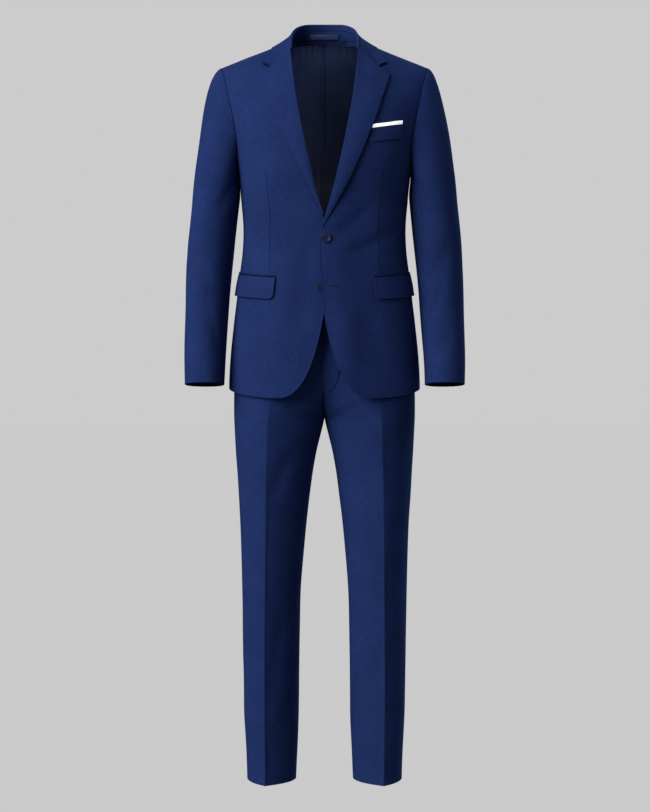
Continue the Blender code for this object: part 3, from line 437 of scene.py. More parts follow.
LEG_FRONT_FOLDS = (
    Fold(-0.164, 1.290, -0.132, 1.395, 0.007, 0.0018, 0.002),
    Fold(0.164, 1.385, 0.133, 1.480, 0.007, 0.0018, 0.002),
    Fold(-0.060, 0.860, -0.105, 0.960, 0.016, -0.0030, 0.004),
    Fold(0.045, 0.845, 0.100, 0.930, 0.016, -0.0030, -0.004),
    Fold(-0.012, 0.800, -0.075, 0.775, 0.010, -0.0026, 0.003),
    Fold(0.012, 0.800, 0.080, 0.770, 0.010, -0.0024, -0.003),
    Fold(0.075, 1.130, 0.095, 1.230, 0.014, -0.0020, 0.003),
    Fold(-0.085, 1.210, -0.100, 1.320, 0.013, -0.0018, 0.003),
    Fold(-0.070, 1.330, -0.100, 1.420, 0.014, 0.0016, 0.003),
    Fold(0.148, 1.000, 0.150, 1.150, 0.016, -0.0016, 0.002),
)
LEG_BACK_FOLDS = (
    Fold(-0.020, 0.800, -0.110, 0.770, 0.014, -0.0034, 0.006),
    Fold(0.020, 0.800, 0.110, 0.765, 0.014, -0.0034, -0.006),
    Fold(-0.060, 1.080, -0.150, 1.110, 0.014, -0.0032, 0.004),
    Fold(0.060, 1.090, 0.150, 1.105, 0.014, -0.0030, 0.004),
    Fold(-0.065, 1.140, -0.150, 1.170, 0.013, -0.0024, 0.004),
    Fold(0.068, 1.150, 0.150, 1.160, 0.013, -0.0022, 0.004),
)
# The two long darts of each front, as distance out at each drop.
Dart = namedtuple("Dart", "drop out")
DART = (Dart(0.290, 0.1212), Dart(0.314, 0.1175), Dart(0.400, 0.1105), Dart(0.504, 0.1125))
DART_FAINT = 0.0007  # how much fainter the shade painted along a dart is than a seam's
DART_SWELL = 0.0006
DART_SWELL_WIDE = 0.010
CREASE_FADE = 0.25  # a crease fades over this share of its length, to either side of each end

# Slow waves that no pressing takes out, with a seed for each kind of piece.
WAVES = 9
WAVE_LENGTHS = (0.07, 0.22)
WAVE_DRAWN_OUT = 0.6
WAVE_HIGH = {"front": 0.0009, "back": 0.0009, "side": 0.0007, "sleeve": 0.0010, "leg": 0.0009}
WAVE_SEED = {"front": 11, "back": 23, "side": 37, "sleeve": 51, "leg_front": 71, "leg_back": 83}
FRONT_EDGE_FADE = 0.04  # shares of a panel's width where its creases fade
BACK_SEAM_FADE = 0.05
SIDE_SEAM_FADE = 0.1

SIDES = {"right": -1, "left": 1}


# --- Reading the tables ---------------------------------------------------------------------------
def read(rows, name, at):
    """A column at keys between the rows, on a smooth curve that never overshoots."""
    keys = np.array([row[0] for row in rows])
    values = np.array([getattr(row, name) for row in rows])
    rises = np.diff(values) / np.diff(keys)
    before = np.concatenate([rises[:1], rises])
    after = np.concatenate([rises, rises[-1:]])
    turning = before * after <= 0
    slopes = np.where(turning, 0, 2 * before * after / np.where(turning, 1, before + after))
    at = np.clip(at, keys[0], keys[-1])
    i = np.clip(np.searchsorted(keys, at, side="right") - 1, 0, len(keys) - 2)
    step = keys[i + 1] - keys[i]
    t = (at - keys[i]) / step
    base = values[i] * (1 + 2 * t) * (1 - t) ** 2 + values[i + 1] * t * t * (3 - 2 * t)
    return base + step * (slopes[i] * t * (1 - t) ** 2 - slopes[i + 1] * t * t * (1 - t))


def ramp(start, end, at):
    t = np.clip((at - start) / (end - start), 0, 1)
    return t * t * (3 - 2 * t)


def mix(a, b, t):
    return a * (1 - t) + b * t


def point(x, y, z):
    return np.stack(np.broadcast_arrays(x, y, z), axis=-1).astype(float)


def unit(ways):
    return ways / np.maximum(np.linalg.norm(ways, axis=-1, keepdims=True), 1e-12)


def power(value, exponent):
    return np.sign(value) * np.abs(value) ** exponent


def bell(off, wide):
    """1 in the middle, and nearly 0 from twice the width on."""
    return np.exp(-((off / wide) ** 2))


def places(spots):
    """How far out and how far down each point lies."""
    return spots[..., 0], -spots[..., 2]


def lifted(spots, ways, height):
    """Points moved by a height along their ways."""
    return spots + ways * np.asarray(height)[..., None]


def put(name, data):
    """A new object in the scene."""
    piece = bpy.data.objects.new(name, data)
    bpy.context.scene.collection.objects.link(piece)
    return piece


# --- The torso surface ----------------------------------------------------------------------------
def arch(out, drop, exponent):
    up = (CHEST_DROP - drop) / (CHEST_DROP + read(RIDGE, "rise", np.abs(out)))
    return np.maximum(1 - np.clip(up, 0, 1) ** exponent, 0) ** (1 / exponent)


def torso(angle, drop):
    """Points of the wearer's left half: the angle goes from the centre front round to the back."""
    square = read(TORSO, "square", drop)
    middle = read(TORSO, "middle", drop)
    out = read(TORSO, "half", drop) * power(np.sin(angle), 2 / square)
    share = np.abs(np.cos(angle)) ** (2 / square)
    front = (read(TORSO, "front", drop) - middle) * arch(out, drop, FRONT_ARCH)
    back = (read(TORSO, "back", drop) - middle) * arch(out, drop, BACK_ARCH)
    return point(out, middle + share * np.where(np.cos(angle) >= 0, front, back), -drop)


def angle_at(out, drop, behind=False):
    half = read(TORSO, "half", drop)
    square = read(TORSO, "square", drop)
    angle = np.sign(out) * np.arcsin(np.minimum(np.abs(out) / half, 1) ** (square / 2))
    return np.where(behind, pi - angle, angle)


def on_torso(out, drop, behind=False):
    return torso(angle_at(out, drop, behind), drop)


def out_of_torso(out, drop, behind=False):
    """The way out of the torso at each place."""
    across = on_torso(out + TORSO_STEP, drop, behind) - on_torso(out - TORSO_STEP, drop, behind)
    down = on_torso(out, drop + TORSO_STEP, behind) - on_torso(out, drop, behind)
    way = unit(np.cross(down, across))
    return way * np.where(behind, -1, 1)[..., None]


def armhole(part, behind):
    """The armhole's angle and drop, from the shoulder (0) to the underarm (1)."""
    top = -read(RIDGE, "rise", SHOULDER_OUT)
    bend = (1 - np.cos(part * pi / 2)) ** ARMHOLE_BEND
    angle = mix(ARMHOLE_TOP_ANGLE, pi / 2, bend)
    drop = top + (ARMHOLE_BOTTOM - top) * np.sin(part * pi / 2)
    return np.where(behind, pi - angle, angle), drop


def armhole_part(angle):
    bend = np.clip((angle - ARMHOLE_TOP_ANGLE) / (pi / 2 - ARMHOLE_TOP_ANGLE), 0, 1)
    turned = 1 - bend ** (1 / ARMHOLE_BEND)
    return np.arcsin((1 - turned * turned) ** 0.5) / (pi / 2)


def armhole_angle(drop, behind):
    top = -read(RIDGE, "rise", SHOULDER_OUT)
    share = np.clip((drop - top) / (ARMHOLE_BOTTOM - top), 0, 1)
    return armhole(np.arcsin(share) / (pi / 2), behind)[0]


def front_edge(drop, side):
    """How far on its own side a front's edge lies."""
    down = np.clip((drop - CUTAWAY_DROP) / (HEM_FRONT_DROP - CUTAWAY_DROP), 0, 1)
    away = 1 - (1 - down**CUTAWAY_START) ** CUTAWAY_TURN
    start = getattr(EDGE[-1], side)
    curved = start + (CUTAWAY_OUT - start) * away
    return np.where(drop <= CUTAWAY_DROP, read(EDGE, side, drop), curved)


def lap(out, drop, side):
    if side == "right":
        return np.zeros_like(out)
    return LAP_LIFT * ramp(LAP_OUTER, LAP_INNER, out) * ramp(LAP_TOP, LAP_FULL, drop)


SIDE_LEVEL = float(armhole(armhole_part(SIDE_FRONT_ANGLE), False)[1])


def hem_drop(angle):
    return mix(HEM_FRONT_DROP, HEM_BACK_DROP, ramp(HEM_RISE_START, HEM_RISE_END, angle))


def crown(out, behind):
    """The drop of a panel's top: the neck seam behind the neck, and the shoulder seam."""
    shoulder = -read(RIDGE, "rise", np.abs(out))
    if not behind:
        return shoulder
    neck = NECK_DROP * (np.abs(out) / NECK_OUT) ** 3
    return np.where(np.abs(out) < NECK_OUT, neck, shoulder)


def climb(angle_of, lift, behind):
    drop = mix(SIDE_LEVEL, crown(SHOULDER_OUT, behind), lift)
    for _ in range(CLIMB_ROUNDS):
        angle = angle_of(drop)
        drop = mix(SIDE_LEVEL, crown(torso(angle, drop)[..., 0], behind), lift)
    return angle, drop


def panel(u, v, side, behind):
    """A front or back: u goes from the centre to the side, v from the hem to the shoulder."""
    seam = SIDE_BACK_ANGLE + SEAM_ANGLE if behind else SIDE_FRONT_ANGLE - SEAM_ANGLE
    centre_hem = HEM_BACK_DROP if behind else HEM_FRONT_DROP

    def inner(drop):
        edge = SEAM / 2 + 0 * drop if behind else front_edge(drop, side)
        return angle_at(edge, drop, behind)

    def outer(drop):
        angle = armhole_angle(drop, behind)
        return np.maximum(angle, seam) if behind else np.minimum(angle, seam)

    low = np.clip(v / LOW_SHARE, 0, 1) ** ROW_BUNCH
    low_angle = mix(inner(mix(centre_hem, SIDE_LEVEL, low)), seam, u)
    low_drop = mix(hem_drop(low_angle), SIDE_LEVEL, low)
    high = np.sin(np.clip((v - LOW_SHARE) / (1 - LOW_SHARE), 0, 1) * pi / 2)
    start = climb(inner, high, behind)[0]
    end = climb(outer, high, behind)[0]
    high_angle, high_drop = climb(lambda _: mix(start, end, u), high, behind)
    below = v <= LOW_SHARE
    spots = torso(np.where(below, low_angle, high_angle), np.where(below, low_drop, high_drop))
    if behind:
        spots[..., 1] += SEAM / 2
    else:
        spots[..., 1] -= SEAM / 2 + lap(spots[..., 0], -spots[..., 2], side)
    return spots


# --- Making walls of cloth ------------------------------------------------------------------------
def spread(count, parts=1, gather=0.6):
    """Even steps from 0 to 1, closer together at the ends of each part."""
    t = np.linspace(0, 1, count // parts + 1)
    t = mix(t, (1 - np.cos(pi * t)) / 2, gather)
    return np.unique(np.concatenate([(part + t) / parts for part in range(parts)]).round(9))


def way_out(spots, out):
    """The way out of a patch at each of its points."""
    across = np.gradient(spots, axis=1)
    along = np.gradient(spots, axis=0)
    return unit(np.cross(across, along)) * out


def lengths(spots, axis):
    """How far along the cloth each point lies."""
    steps = np.linalg.norm(np.diff(spots, axis=axis), axis=-1)
    zero = np.zeros_like(np.take(steps, [0], axis=axis))
    return np.concatenate([zero, np.cumsum(steps, axis=axis)], axis=axis)


def rim_of(rows, columns):
    """The numbers of a grid's border points, once round, and of the points next to them inside."""
    grid = np.arange(rows * columns).reshape(rows, columns)
    border = np.concatenate([grid[0, :-1], grid[:-1, -1], grid[-1, :0:-1], grid[:0:-1, 0]])
    next_in = np.concatenate([grid[1, :-1], grid[:-1, -2], grid[-2, :0:-1], grid[:0:-1, 1]])
    return border, next_in


def dart_gap(out, drop):
    """How far a place on a front lies from its dart."""
    past_ends = np.maximum(DART[0].drop - drop, drop - POCKET_DROP + JET_HIGH)
    return np.maximum(np.abs(np.abs(out) - read(DART, "out", drop)), past_ends) + DART_FAINT


def lapel_gap(out, drop):
    """How far a place on a front lies from its lapel's outer edge, for the shadow painted under that
    edge.
    """
    edge = np.where(out < 0, read(LAPEL, "right", drop), read(LAPEL, "left", drop))
    past_ends = np.maximum(LAPEL_TIP[1] - drop, drop - LAPEL_END["right"])
    soft = np.where(out < 0, LINE_SOFT * ramp(LAPEL_END["right"], LAPEL_TIP[1], drop), -LINE_HARD)
    return np.maximum(np.abs(np.abs(out) - edge) + soft, past_ends)


def notch_gap(out, drop):
    """How far a place on a front lies from the edge of the collar's tip over the notch, for the
    shadow painted under it.
    """
    way = np.subtract(COLLAR_TIP, NOTCH)
    out, drop = np.abs(out) - NOTCH[0], drop - NOTCH[1] - NOTCH_SHADE_BELOW
    along = np.clip((out * way[0] + drop * way[1]) / (way @ way), 0, 1)
    return np.hypot(out - along * way[0], drop - along * way[1]) - SHADOW_LINE_HALF


def from_seams(spots, seams):
    """How far each point lies from the nearest of the edges and lines that are named."""
    across, along = lengths(spots, 1), lengths(spots, 0)
    out, drop = places(spots)
    side = across[:, -1:] - across
    # Beyond a piece's own edges, these are lines along which shade is painted: a dart, a lapel's
    # edge, a collar's tip and the fly.
    edges = {"start": across, "end": side, "foot": along, "top": along[-1:] - along,
             "armhole": side + ramp(ARMHOLE_BOTTOM - ARMHOLE_FADE, ARMHOLE_BOTTOM, drop),
             "dart": dart_gap(out, drop), "lapel": lapel_gap(out, drop),
             "notch": notch_gap(out, drop), "fly": np.abs(out - FLY_RIGHT)}
    nearest = np.min([np.full(across.shape, FAR_FROM_SEAM), *(edges[name] for name in seams)], axis=0)
    return np.maximum(nearest, 0)


def wall(name, spots, thick, out, finishes, seams):
    """A closed wall of cloth with rounded edges: spots are its face, and finishes its two sides."""
    rows, columns = spots.shape[:2]
    ways = way_out(spots, out)
    count = rows * columns
    face = spots.reshape(-1, 3)
    back = face - ways.reshape(-1, 3) * thick
    border, next_in = rim_of(rows, columns)
    outward = unit(face[border] - face[next_in])
    middle = (face[border] + back[border]) / 2 + outward * thick * RIM_BULGE
    points = np.concatenate([face, back, middle])
    grid = np.arange(count).reshape(rows, columns)
    quads = [grid[:-1, :-1], grid[:-1, 1:], grid[1:, 1:], grid[1:, :-1]]
    front = np.stack([q.ravel() for q in quads], axis=1)
    behind = front[:, ::-1] + count
    ring = 2 * count + np.arange(len(border))
    nxt = np.roll(np.arange(len(border)), -1)
    rim_a = np.stack([border[nxt], border, ring, ring[nxt]], axis=1)
    rim_b = np.stack([ring[nxt], ring, border + count, border[nxt] + count], axis=1)
    faces = np.concatenate([front, rim_a, rim_b, behind])
    if out < 0:
        faces = faces[:, ::-1]
    mesh = bpy.data.meshes.new(name)
    mesh.from_pydata(points.tolist(), [], faces.tolist())
    mesh.polygons.foreach_set("use_smooth", [True] * len(faces))
    for finish in finishes:
        mesh.materials.append(cloth_finish(finish))
    if len(finishes) > 1:
        numbers = np.zeros(len(faces), dtype=np.int32)
        numbers[-len(behind):] = 1
        mesh.polygons.foreach_set("material_index", numbers)
    across, along = lengths(spots, 1), lengths(spots, 0)
    flat = np.stack([across.ravel(), along.ravel()], axis=1)
    flat = np.concatenate([flat, flat, flat[border]])
    corners = np.empty(len(mesh.loops), dtype=np.int32)
    mesh.loops.foreach_get("vertex_index", corners)
    layer = mesh.uv_layers.new(name="Cloth")
    layer.data.foreach_set("uv", flat[corners].astype(np.float32).ravel())
    # Each point's distance from the named seams and lines, which the finishes turn into painted
    # shade.
    near = from_seams(spots, seams).ravel()
    shade = mesh.attributes.new("seam", "FLOAT", "POINT")
    near = np.concatenate([near, near, near[border]])
    shade.data.foreach_set("value", near.astype(np.float32))
    mesh.update()
    mesh.set_sharp_from_angle(angle=EDGE_SHARP)
    piece = put(name, mesh)
    area = sum(part.area for part in mesh.polygons) / 2
    return piece, (float(across.max()), float(along.max())), area


def cloth(name, place, count, side="left", out=1, thick=CLOTH, relief=None,
          finishes=("suiting",), across=None, seams=(), turned=()):
    """A piece of cloth that stands for the solid of its name."""
    u, v = np.meshgrid(spread(count[0]) if across is None else across, spread(count[1]))
    spots = place(u, v)
    if side == "right":
        spots[..., 0] *= -1
        out = -out
    height = BEAD * bell(from_seams(spots, turned), BEAD_WIDE)
    height = height - SEAM_DIP * bell(from_seams(spots, seams), SEAM_DIP_WIDE)
    if relief is not None:
        height = height + relief(spots, u, v)
    spots = lifted(spots, way_out(spots, out), height)
    piece, flat, area = wall(f"{name}_cloth", spots, thick, out, finishes, seams)
    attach(piece, "root")
    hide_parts(name)


# --- Creases --------------------------------------------------------------------------------------
def creases(folds, out, drop):
    """The height of the creases at each place of a panel."""
    total = np.zeros(np.broadcast(out, drop).shape)
    for fold in folds:
        way = np.array([fold.to_out - fold.out, fold.to_drop - fold.drop])
        length = float(np.hypot(*way))
        along = ((out - fold.out) * way[0] + (drop - fold.drop) * way[1]) / length**2
        off = ((drop - fold.drop) * way[0] - (out - fold.out) * way[1]) / length
        off = off - fold.bend * 4 * along * (1 - along)
        start = ramp(-CREASE_FADE, CREASE_FADE, along)
        end = ramp(1 + CREASE_FADE, 1 - CREASE_FADE, along)
        total += fold.rise * start * end * bell(off, fold.wide)
    return total


def uneven(out, drop, seed, height):
    """Slow waves in cloth that no pressing takes out."""
    waves = np.random.default_rng(seed)
    total = np.zeros(np.broadcast(out, drop).shape)
    for _ in range(WAVES):
        turn = waves.uniform(0, pi)
        length = waves.uniform(*WAVE_LENGTHS)
        phase = waves.uniform(0, 2 * pi)
        way = out * np.cos(turn) + drop * np.sin(turn) * WAVE_DRAWN_OUT
        total += np.sin(way * 2 * pi / length + phase)
    return total * height / WAVES**0.5


def suit_props():
    return bpy.context.scene.suit_cloth


def calm(spots):
    """Fades creases out at the side seam, the armhole and the shoulder seam, where pieces meet."""
    return ramp(0, SEAM_CALM, from_seams(spots, ("end", "top")))


def front_relief(spots, u, v):
    out, drop = places(spots)
    height = creases(FRONT_FOLDS, out, drop)
    height = height + uneven(out, drop, WAVE_SEED["front"], WAVE_HIGH["front"])
    swell = DART_SWELL * bell(dart_gap(out, drop), DART_SWELL_WIDE)
    edge = ramp(0, FRONT_EDGE_FADE, u + FRONT_EDGE_FADE / 2)
    return (height * suit_props().creasing + swell) * edge * calm(spots)


def back_relief(spots, u, v):
    out, drop = places(spots)
    height = creases(BACK_FOLDS, out, drop)
    height = height + uneven(out, drop, WAVE_SEED["back"], WAVE_HIGH["back"])
    return height * suit_props().creasing * ramp(0, BACK_SEAM_FADE, u) * calm(spots)


def side_relief(spots, u, v):
    height = uneven(spots[..., 1], -spots[..., 2], WAVE_SEED["side"], WAVE_HIGH["side"])
    return height * suit_props().creasing * ramp(0, SIDE_SEAM_FADE, u * (1 - u))



def link(tree, start, end):
    tree.links.new(start, end)


def node(tree, kind, **values):
    made = tree.nodes.new(kind)
    for name, value in values.items():
        if name in made.inputs:
            made.inputs[name].default_value = value
        else:
            setattr(made, name, value)
    return made


def math_node(tree, operation, first, second=0.0):
    made = node(tree, "ShaderNodeMath", operation=operation)
    for socket, value in zip(made.inputs, (first, second)):
        if isinstance(value, bpy.types.NodeSocket):
            link(tree, value, socket)
        else:
            socket.default_value = value
    return made.outputs[0]


def blended(tree, first, first_share, second, second_share):
    """Shares of two values, added up."""
    return math_node(tree, "ADD", math_node(tree, "MULTIPLY", first, first_share),
                     math_node(tree, "MULTIPLY", second, second_share))


def scaled(tree, value, share, start):
    """A share of a value, added to a start."""
    return math_node(tree, "ADD", math_node(tree, "MULTIPLY", value, share), start)


def colours(tree, factor, stops):
    made = tree.nodes.new("ShaderNodeValToRGB")
    ramp_of = made.color_ramp
    while len(ramp_of.elements) < len(stops):
        ramp_of.elements.new(0.5)
    for element, (at, colour) in zip(ramp_of.elements, stops):
        element.position = at
        element.color = (*colour, 1)
    link(tree, factor, made.inputs["Fac"])
    return made.outputs["Color"]


def weave(tree, pitch, slant):
    """A twill: threads across and along, whose crossings step along a slant."""
    flat = tree.nodes.new("ShaderNodeUVMap")
    parts = tree.nodes.new("ShaderNodeSeparateXYZ")
    link(tree, flat.outputs["UV"], parts.inputs[0])
    turns = 2 * pi / pitch
    across = math_node(tree, "MULTIPLY", parts.outputs["X"], turns)
    along = math_node(tree, "MULTIPLY", parts.outputs["Y"], turns)
    rib = math_node(tree, "SINE", blended(tree, across, 1.0, along, slant))
    yarn = math_node(tree, "SINE", math_node(tree, "MULTIPLY", along, 2.0))
    return scaled(tree, blended(tree, rib, 1.0, yarn, 0.35), 0.37, 0.5)


def speckle(tree, scale, detail):
    """A cloud of small spots."""
    place = tree.nodes.new("ShaderNodeTexCoord")
    noise = node(tree, "ShaderNodeTexNoise", Scale=scale, Detail=detail, Roughness=0.55)
    link(tree, place.outputs["Object"], noise.inputs["Vector"])
    return noise.outputs["Fac"]


def slubs(tree, across, along):
    """Thick and thin yarn: noise drawn out along the cloth or across it."""
    flat = tree.nodes.new("ShaderNodeUVMap")
    drawn = node(tree, "ShaderNodeMapping", Scale=(across, along, 1.0))
    noise = node(tree, "ShaderNodeTexNoise", Scale=1.0, Detail=3.0, Roughness=0.6)
    link(tree, flat.outputs["UV"], drawn.inputs["Vector"])
    link(tree, drawn.outputs["Vector"], noise.inputs["Vector"])
    return noise.outputs["Fac"]


def times(tree, colour, shade):
    """A colour multiplied by another."""
    made = node(tree, "ShaderNodeMix", data_type="RGBA", blend_type="MULTIPLY")
    made.inputs[0].default_value = 1.0
    link(tree, colour, made.inputs[6])
    link(tree, shade, made.inputs[7])
    return made.outputs[2]


def painted_seam_shade(tree):
    """Painted shade: darkens the cloth's colour where it dips into a seam, along its darts, under the
    lapels' edges, under the collar's tips and beside the fly.
    """
    near = node(tree, "ShaderNodeAttribute", attribute_name="seam")
    share = math_node(tree, "DIVIDE", near.outputs["Fac"], SEAM_SHADE_WIDE)
    stops = [(SEAM_SHADE_START, (SEAM_SHADE_DARKEST,) * 3), (1.0, (1.0,) * 3)]
    return colours(tree, share, stops)


def surface(tree, shader, colour, rough, fixed=None):
    """Links a finish's colour and roughness, and sets what is the same all over it."""
    link(tree, colour, shader.inputs["Base Color"])
    link(tree, rough, shader.inputs["Roughness"])
    for name, value in (fixed or {}).items():
        shader.inputs[name].default_value = value


def bumped(tree, shader, height, strength, distance):
    bump = node(tree, "ShaderNodeBump", Strength=strength, Distance=distance)
    link(tree, height, bump.inputs["Height"])
    link(tree, bump.outputs["Normal"], shader.inputs["Normal"])


def wool(tree, shader, props, darker=1.0):
    base = np.array(props.wool_colour[:3]) * darker
    pattern = weave(tree, props.weave_pitch, 1.0)
    fibres = speckle(tree, 420.0, 3.0)
    yarn = math_node(tree, "ADD", slubs(tree, 330.0, 55.0), slubs(tree, 60.0, 300.0))
    yarn = math_node(tree, "ADD", yarn, speckle(tree, 14.0, 3.0))
    fine = colours(tree, blended(tree, pattern, 0.60, fibres, 0.40),
                   [(0.15, base * 0.66), (0.5, base), (0.85, base * 1.36)])
    coarse = colours(tree, math_node(tree, "DIVIDE", yarn, 3.0),
                     [(0.38, (0.84,) * 3), (0.62, (1.16,) * 3)])
    # Painted shade along seams, darts and under the lapels' edges darkens the wool's colour.
    colour = times(tree, times(tree, fine, coarse), painted_seam_shade(tree))
    surface(tree, shader, colour, scaled(tree, fibres, 0.12, 0.62),
            {"Sheen Weight": 0.02, "Sheen Roughness": 0.40, "Sheen Tint": (0.55, 0.70, 1.0, 1),
             "Specular IOR Level": 0.0})
    bumped(tree, shader, blended(tree, pattern, 0.6, fibres, 0.8), 0.35, 0.00035)


def wool_inside(tree, shader, props):
    wool(tree, shader, props, 0.8)


def satin(tree, shader, props):
    base = np.array(props.lining_colour[:3])
    pattern = weave(tree, 0.0005, 3.0)
    cloud = speckle(tree, 26.0, 3.0)
    shade = blended(tree, pattern, 0.4, cloud, 0.6)
    colour = colours(tree, shade, [(0.2, base * 0.75), (0.8, base * 1.3)])
    # Painted shade along the lining's seams darkens its colour.
    surface(tree, shader, times(tree, colour, painted_seam_shade(tree)), scaled(tree, cloud, 0.16, 0.36),
            {"Anisotropic": 0.5, "Specular IOR Level": 0.12})
    bumped(tree, shader, pattern, 0.2, 0.0002)


def cotton(tree, shader, props):
    pattern = weave(tree, 0.0007, 0.0)
    colour = colours(tree, pattern, [(0.0, (0.86, 0.86, 0.87)), (1.0, (0.95, 0.95, 0.95))])
    surface(tree, shader, colour, scaled(tree, pattern, 0.1, 0.75))
    bumped(tree, shader, pattern, 0.4, 0.0002)


def horn(tree, shader, props):
    base = np.array(props.button_colour[:3])
    cloud = speckle(tree, 260.0, 5.0)
    colour = colours(tree, cloud, [(0.3, base * 0.6), (0.55, base), (0.75, base * 2.2)])
    surface(tree, shader, colour, scaled(tree, cloud, 0.15, 0.22),
            {"Coat Weight": 0.05, "Specular IOR Level": 0.25, "Coat Roughness": 0.15})


def thread(tree, shader, props):
    base = np.array(props.thread_colour[:3])
    twist = speckle(tree, 1500.0, 2.0)
    colour = colours(tree, twist, [(0.3, base * 0.6), (0.7, base * 1.5)])
    surface(tree, shader, colour, scaled(tree, twist, 0.2, 0.5))
    bumped(tree, shader, twist, 0.6, 0.0002)


FINISHES = {"suiting": wool, "suiting_inside": wool_inside, "lining_satin": satin,
            "light_cotton": cotton, "button_horn": horn, "thread": thread}


def cloth_finish(name):
    """The suit's material of that name, made the first time it's asked for."""
    full_name = f"suit_{name}"
    if full_name in bpy.data.materials:
        return bpy.data.materials[full_name]
    material = bpy.data.materials.new(full_name)
    material.use_nodes = True
    tree = material.node_tree
    FINISHES[name](tree, tree.nodes["Principled BSDF"], suit_props())
    return material


# --- Jacket body, lining and facing ---------------------------------------------------------------
def side_panel(u, v):
    angle = mix(SIDE_FRONT_ANGLE + SEAM_ANGLE, SIDE_BACK_ANGLE - SEAM_ANGLE, u)
    top = armhole(armhole_part(np.minimum(angle, pi - angle)), False)[1]
    return torso(angle, mix(hem_drop(angle), top, v**ROW_BUNCH))


def make_body():
    inside = ("suiting", "suiting_inside")
    for side in SIDES:
        cloth(f"front_{side}", lambda u, v: panel(u, v, side, False), (130, 190), side,
              relief=front_relief, finishes=inside,
              seams=("armhole", "top", "dart", "lapel", "notch"), turned=("start", "foot"))
        cloth(f"side_{side}", side_panel, (24, 90), side, relief=side_relief, finishes=inside,
              seams=("top",))
        cloth(f"back_{side}", lambda u, v: panel(u, v, side, True), (76, 140), side, -1,
              relief=back_relief, finishes=inside, seams=("start", "end", "top"))


def lining_place(u, v):
    """The lining, just inside the back."""
    spots = panel(u * LINING_ACROSS, mix(*LINING_ROWS, v), "left", True)
    return lifted(spots, way_out(spots, -1), -(CLOTH + SEAM * 2 + LINING_CLEAR))


def wave_height(wave, out, drop, shift):
    grown = ramp(wave.start, wave.full, drop)
    return wave.high * np.sin(out * 2 * pi / wave.long + shift) * grown


def lining_relief(spots, u, v):
    """Soft waves and tucks that only go inward, and a pleat down the centre."""
    out, drop = places(spots)
    height = wave_height(LINING_SWELL, out, drop, LINING_SWELL_LEAN * drop + np.sign(out))
    height = height + wave_height(LINING_RIPPLE, out, drop, LINING_RIPPLE_LEAN * drop)
    uneven_tucks = TUCK_UNEVEN * np.sin(out * TUCK_UNEVEN_TURN)
    height = height + wave_height(LINING_TUCKS, out, drop, uneven_tucks)
    pleat = PLEAT_DEEP * ramp(PLEAT_WIDE, 0.0, np.abs(out))
    return np.minimum(height, 0) - pleat + PLEAT_LIP * bell(out, PLEAT_LIP_WIDE)


def facing_place(u, v):
    part = np.abs(2 * u - 1) * FACING_ACROSS
    spots = panel(part, mix(*FACING_ROWS, v), "left", True)
    spots[..., 0] *= np.sign(2 * u - 1)
    return lifted(spots, way_out(spots, -1), -(CLOTH + LINING_CLEAR))


def make_inside():
    for side in SIDES:
        cloth(f"lining_{side}", lining_place, (110, 70), side, -1, LINING, lining_relief,
              ("lining_satin",), seams=("start", "top"))
    cloth("neck_facing", facing_place, (100, 10), out=-1, thick=LINING, seams=("foot",))


# --- Collar, stand and loop -----------------------------------------------------------------------
def crease_at(along):
    return point(*(read(CREASE, name, along) for name in "xyz"))


def neck_at(along):
    """The neck seam: round the back neck, then down the front to the gorge."""
    out = NECK_OUT * np.minimum(along, SHOULDER_ALONG) / SHOULDER_ALONG
    back = on_torso(out, crown(out, True), True)
    down = np.clip((along - SHOULDER_ALONG) / (1 - SHOULDER_ALONG), 0, 1)
    drop = mix(NECK_DROP, GORGE_DROP, down)
    front = on_torso(front_edge(drop, "left"), drop)
    return np.where((along <= SHOULDER_ALONG)[..., None], back, front)


def above_torso(out, drop, behind=False):
    """Places at the collar's height over the torso."""
    spots = on_torso(out, drop, behind)
    return lifted(spots, out_of_torso(out, drop, behind), COLLAR_CLEAR + COLLAR_THICK)


def collar_edge(along):
    shoulder_drop = -read(RIDGE, "rise", COLLAR_EDGE_OUT)
    part = np.minimum(along / SHOULDER_ALONG, 1)
    back_drop = mix(COLLAR_BACK_DROP, shoulder_drop, part * part)
    down = np.clip((along - SHOULDER_ALONG) / (1 - SHOULDER_ALONG), 0, 1)
    front_drop = mix(shoulder_drop, COLLAR_TIP[1], down)
    behind = along <= SHOULDER_ALONG
    back = above_torso(COLLAR_EDGE_OUT * part, back_drop, True)
    front = above_torso(mix(COLLAR_EDGE_OUT, COLLAR_TIP[0], down), front_drop)
    return np.where(behind[..., None], back, front)


def collar_end(part):
    """The front end: down the gorge to the notch, then out to the tip."""
    gorge = (float(read(LAPEL, "roll", GORGE_DROP)), GORGE_DROP)
    first = np.clip(part / NOTCH_SHARE, 0, 1)
    second = np.clip((part - NOTCH_SHARE) / (1 - NOTCH_SHARE), 0, 1)
    out, drop = (mix(mix(gorge[i], NOTCH[i], first), COLLAR_TIP[i], second) for i in (0, 1))
    lift = COLLAR_TIP_LIFT * ramp(COLLAR_LIFT_START, COLLAR_LIFT_END, part)
    return lifted(above_torso(out, drop - GORGE_GAP), out_of_torso(out, drop), lift)


def inward_at(along):
    crease = crease_at(along)
    return unit(point(-crease[..., 0], NECK_CENTRE_Y - crease[..., 1], 0 * crease[..., 0]))


def collar_inner(along, down):
    top = crease_at(along) + inward_at(along) * COLLAR_FOLD - np.array([0, 0, COLLAR_FOLD])
    depth = COLLAR_INSIDE * mix(1.0, COLLAR_END_INSIDE, ramp(SHOULDER_ALONG, 1.0, along))
    return lifted(top, unit(neck_at(along) - top), depth * down)


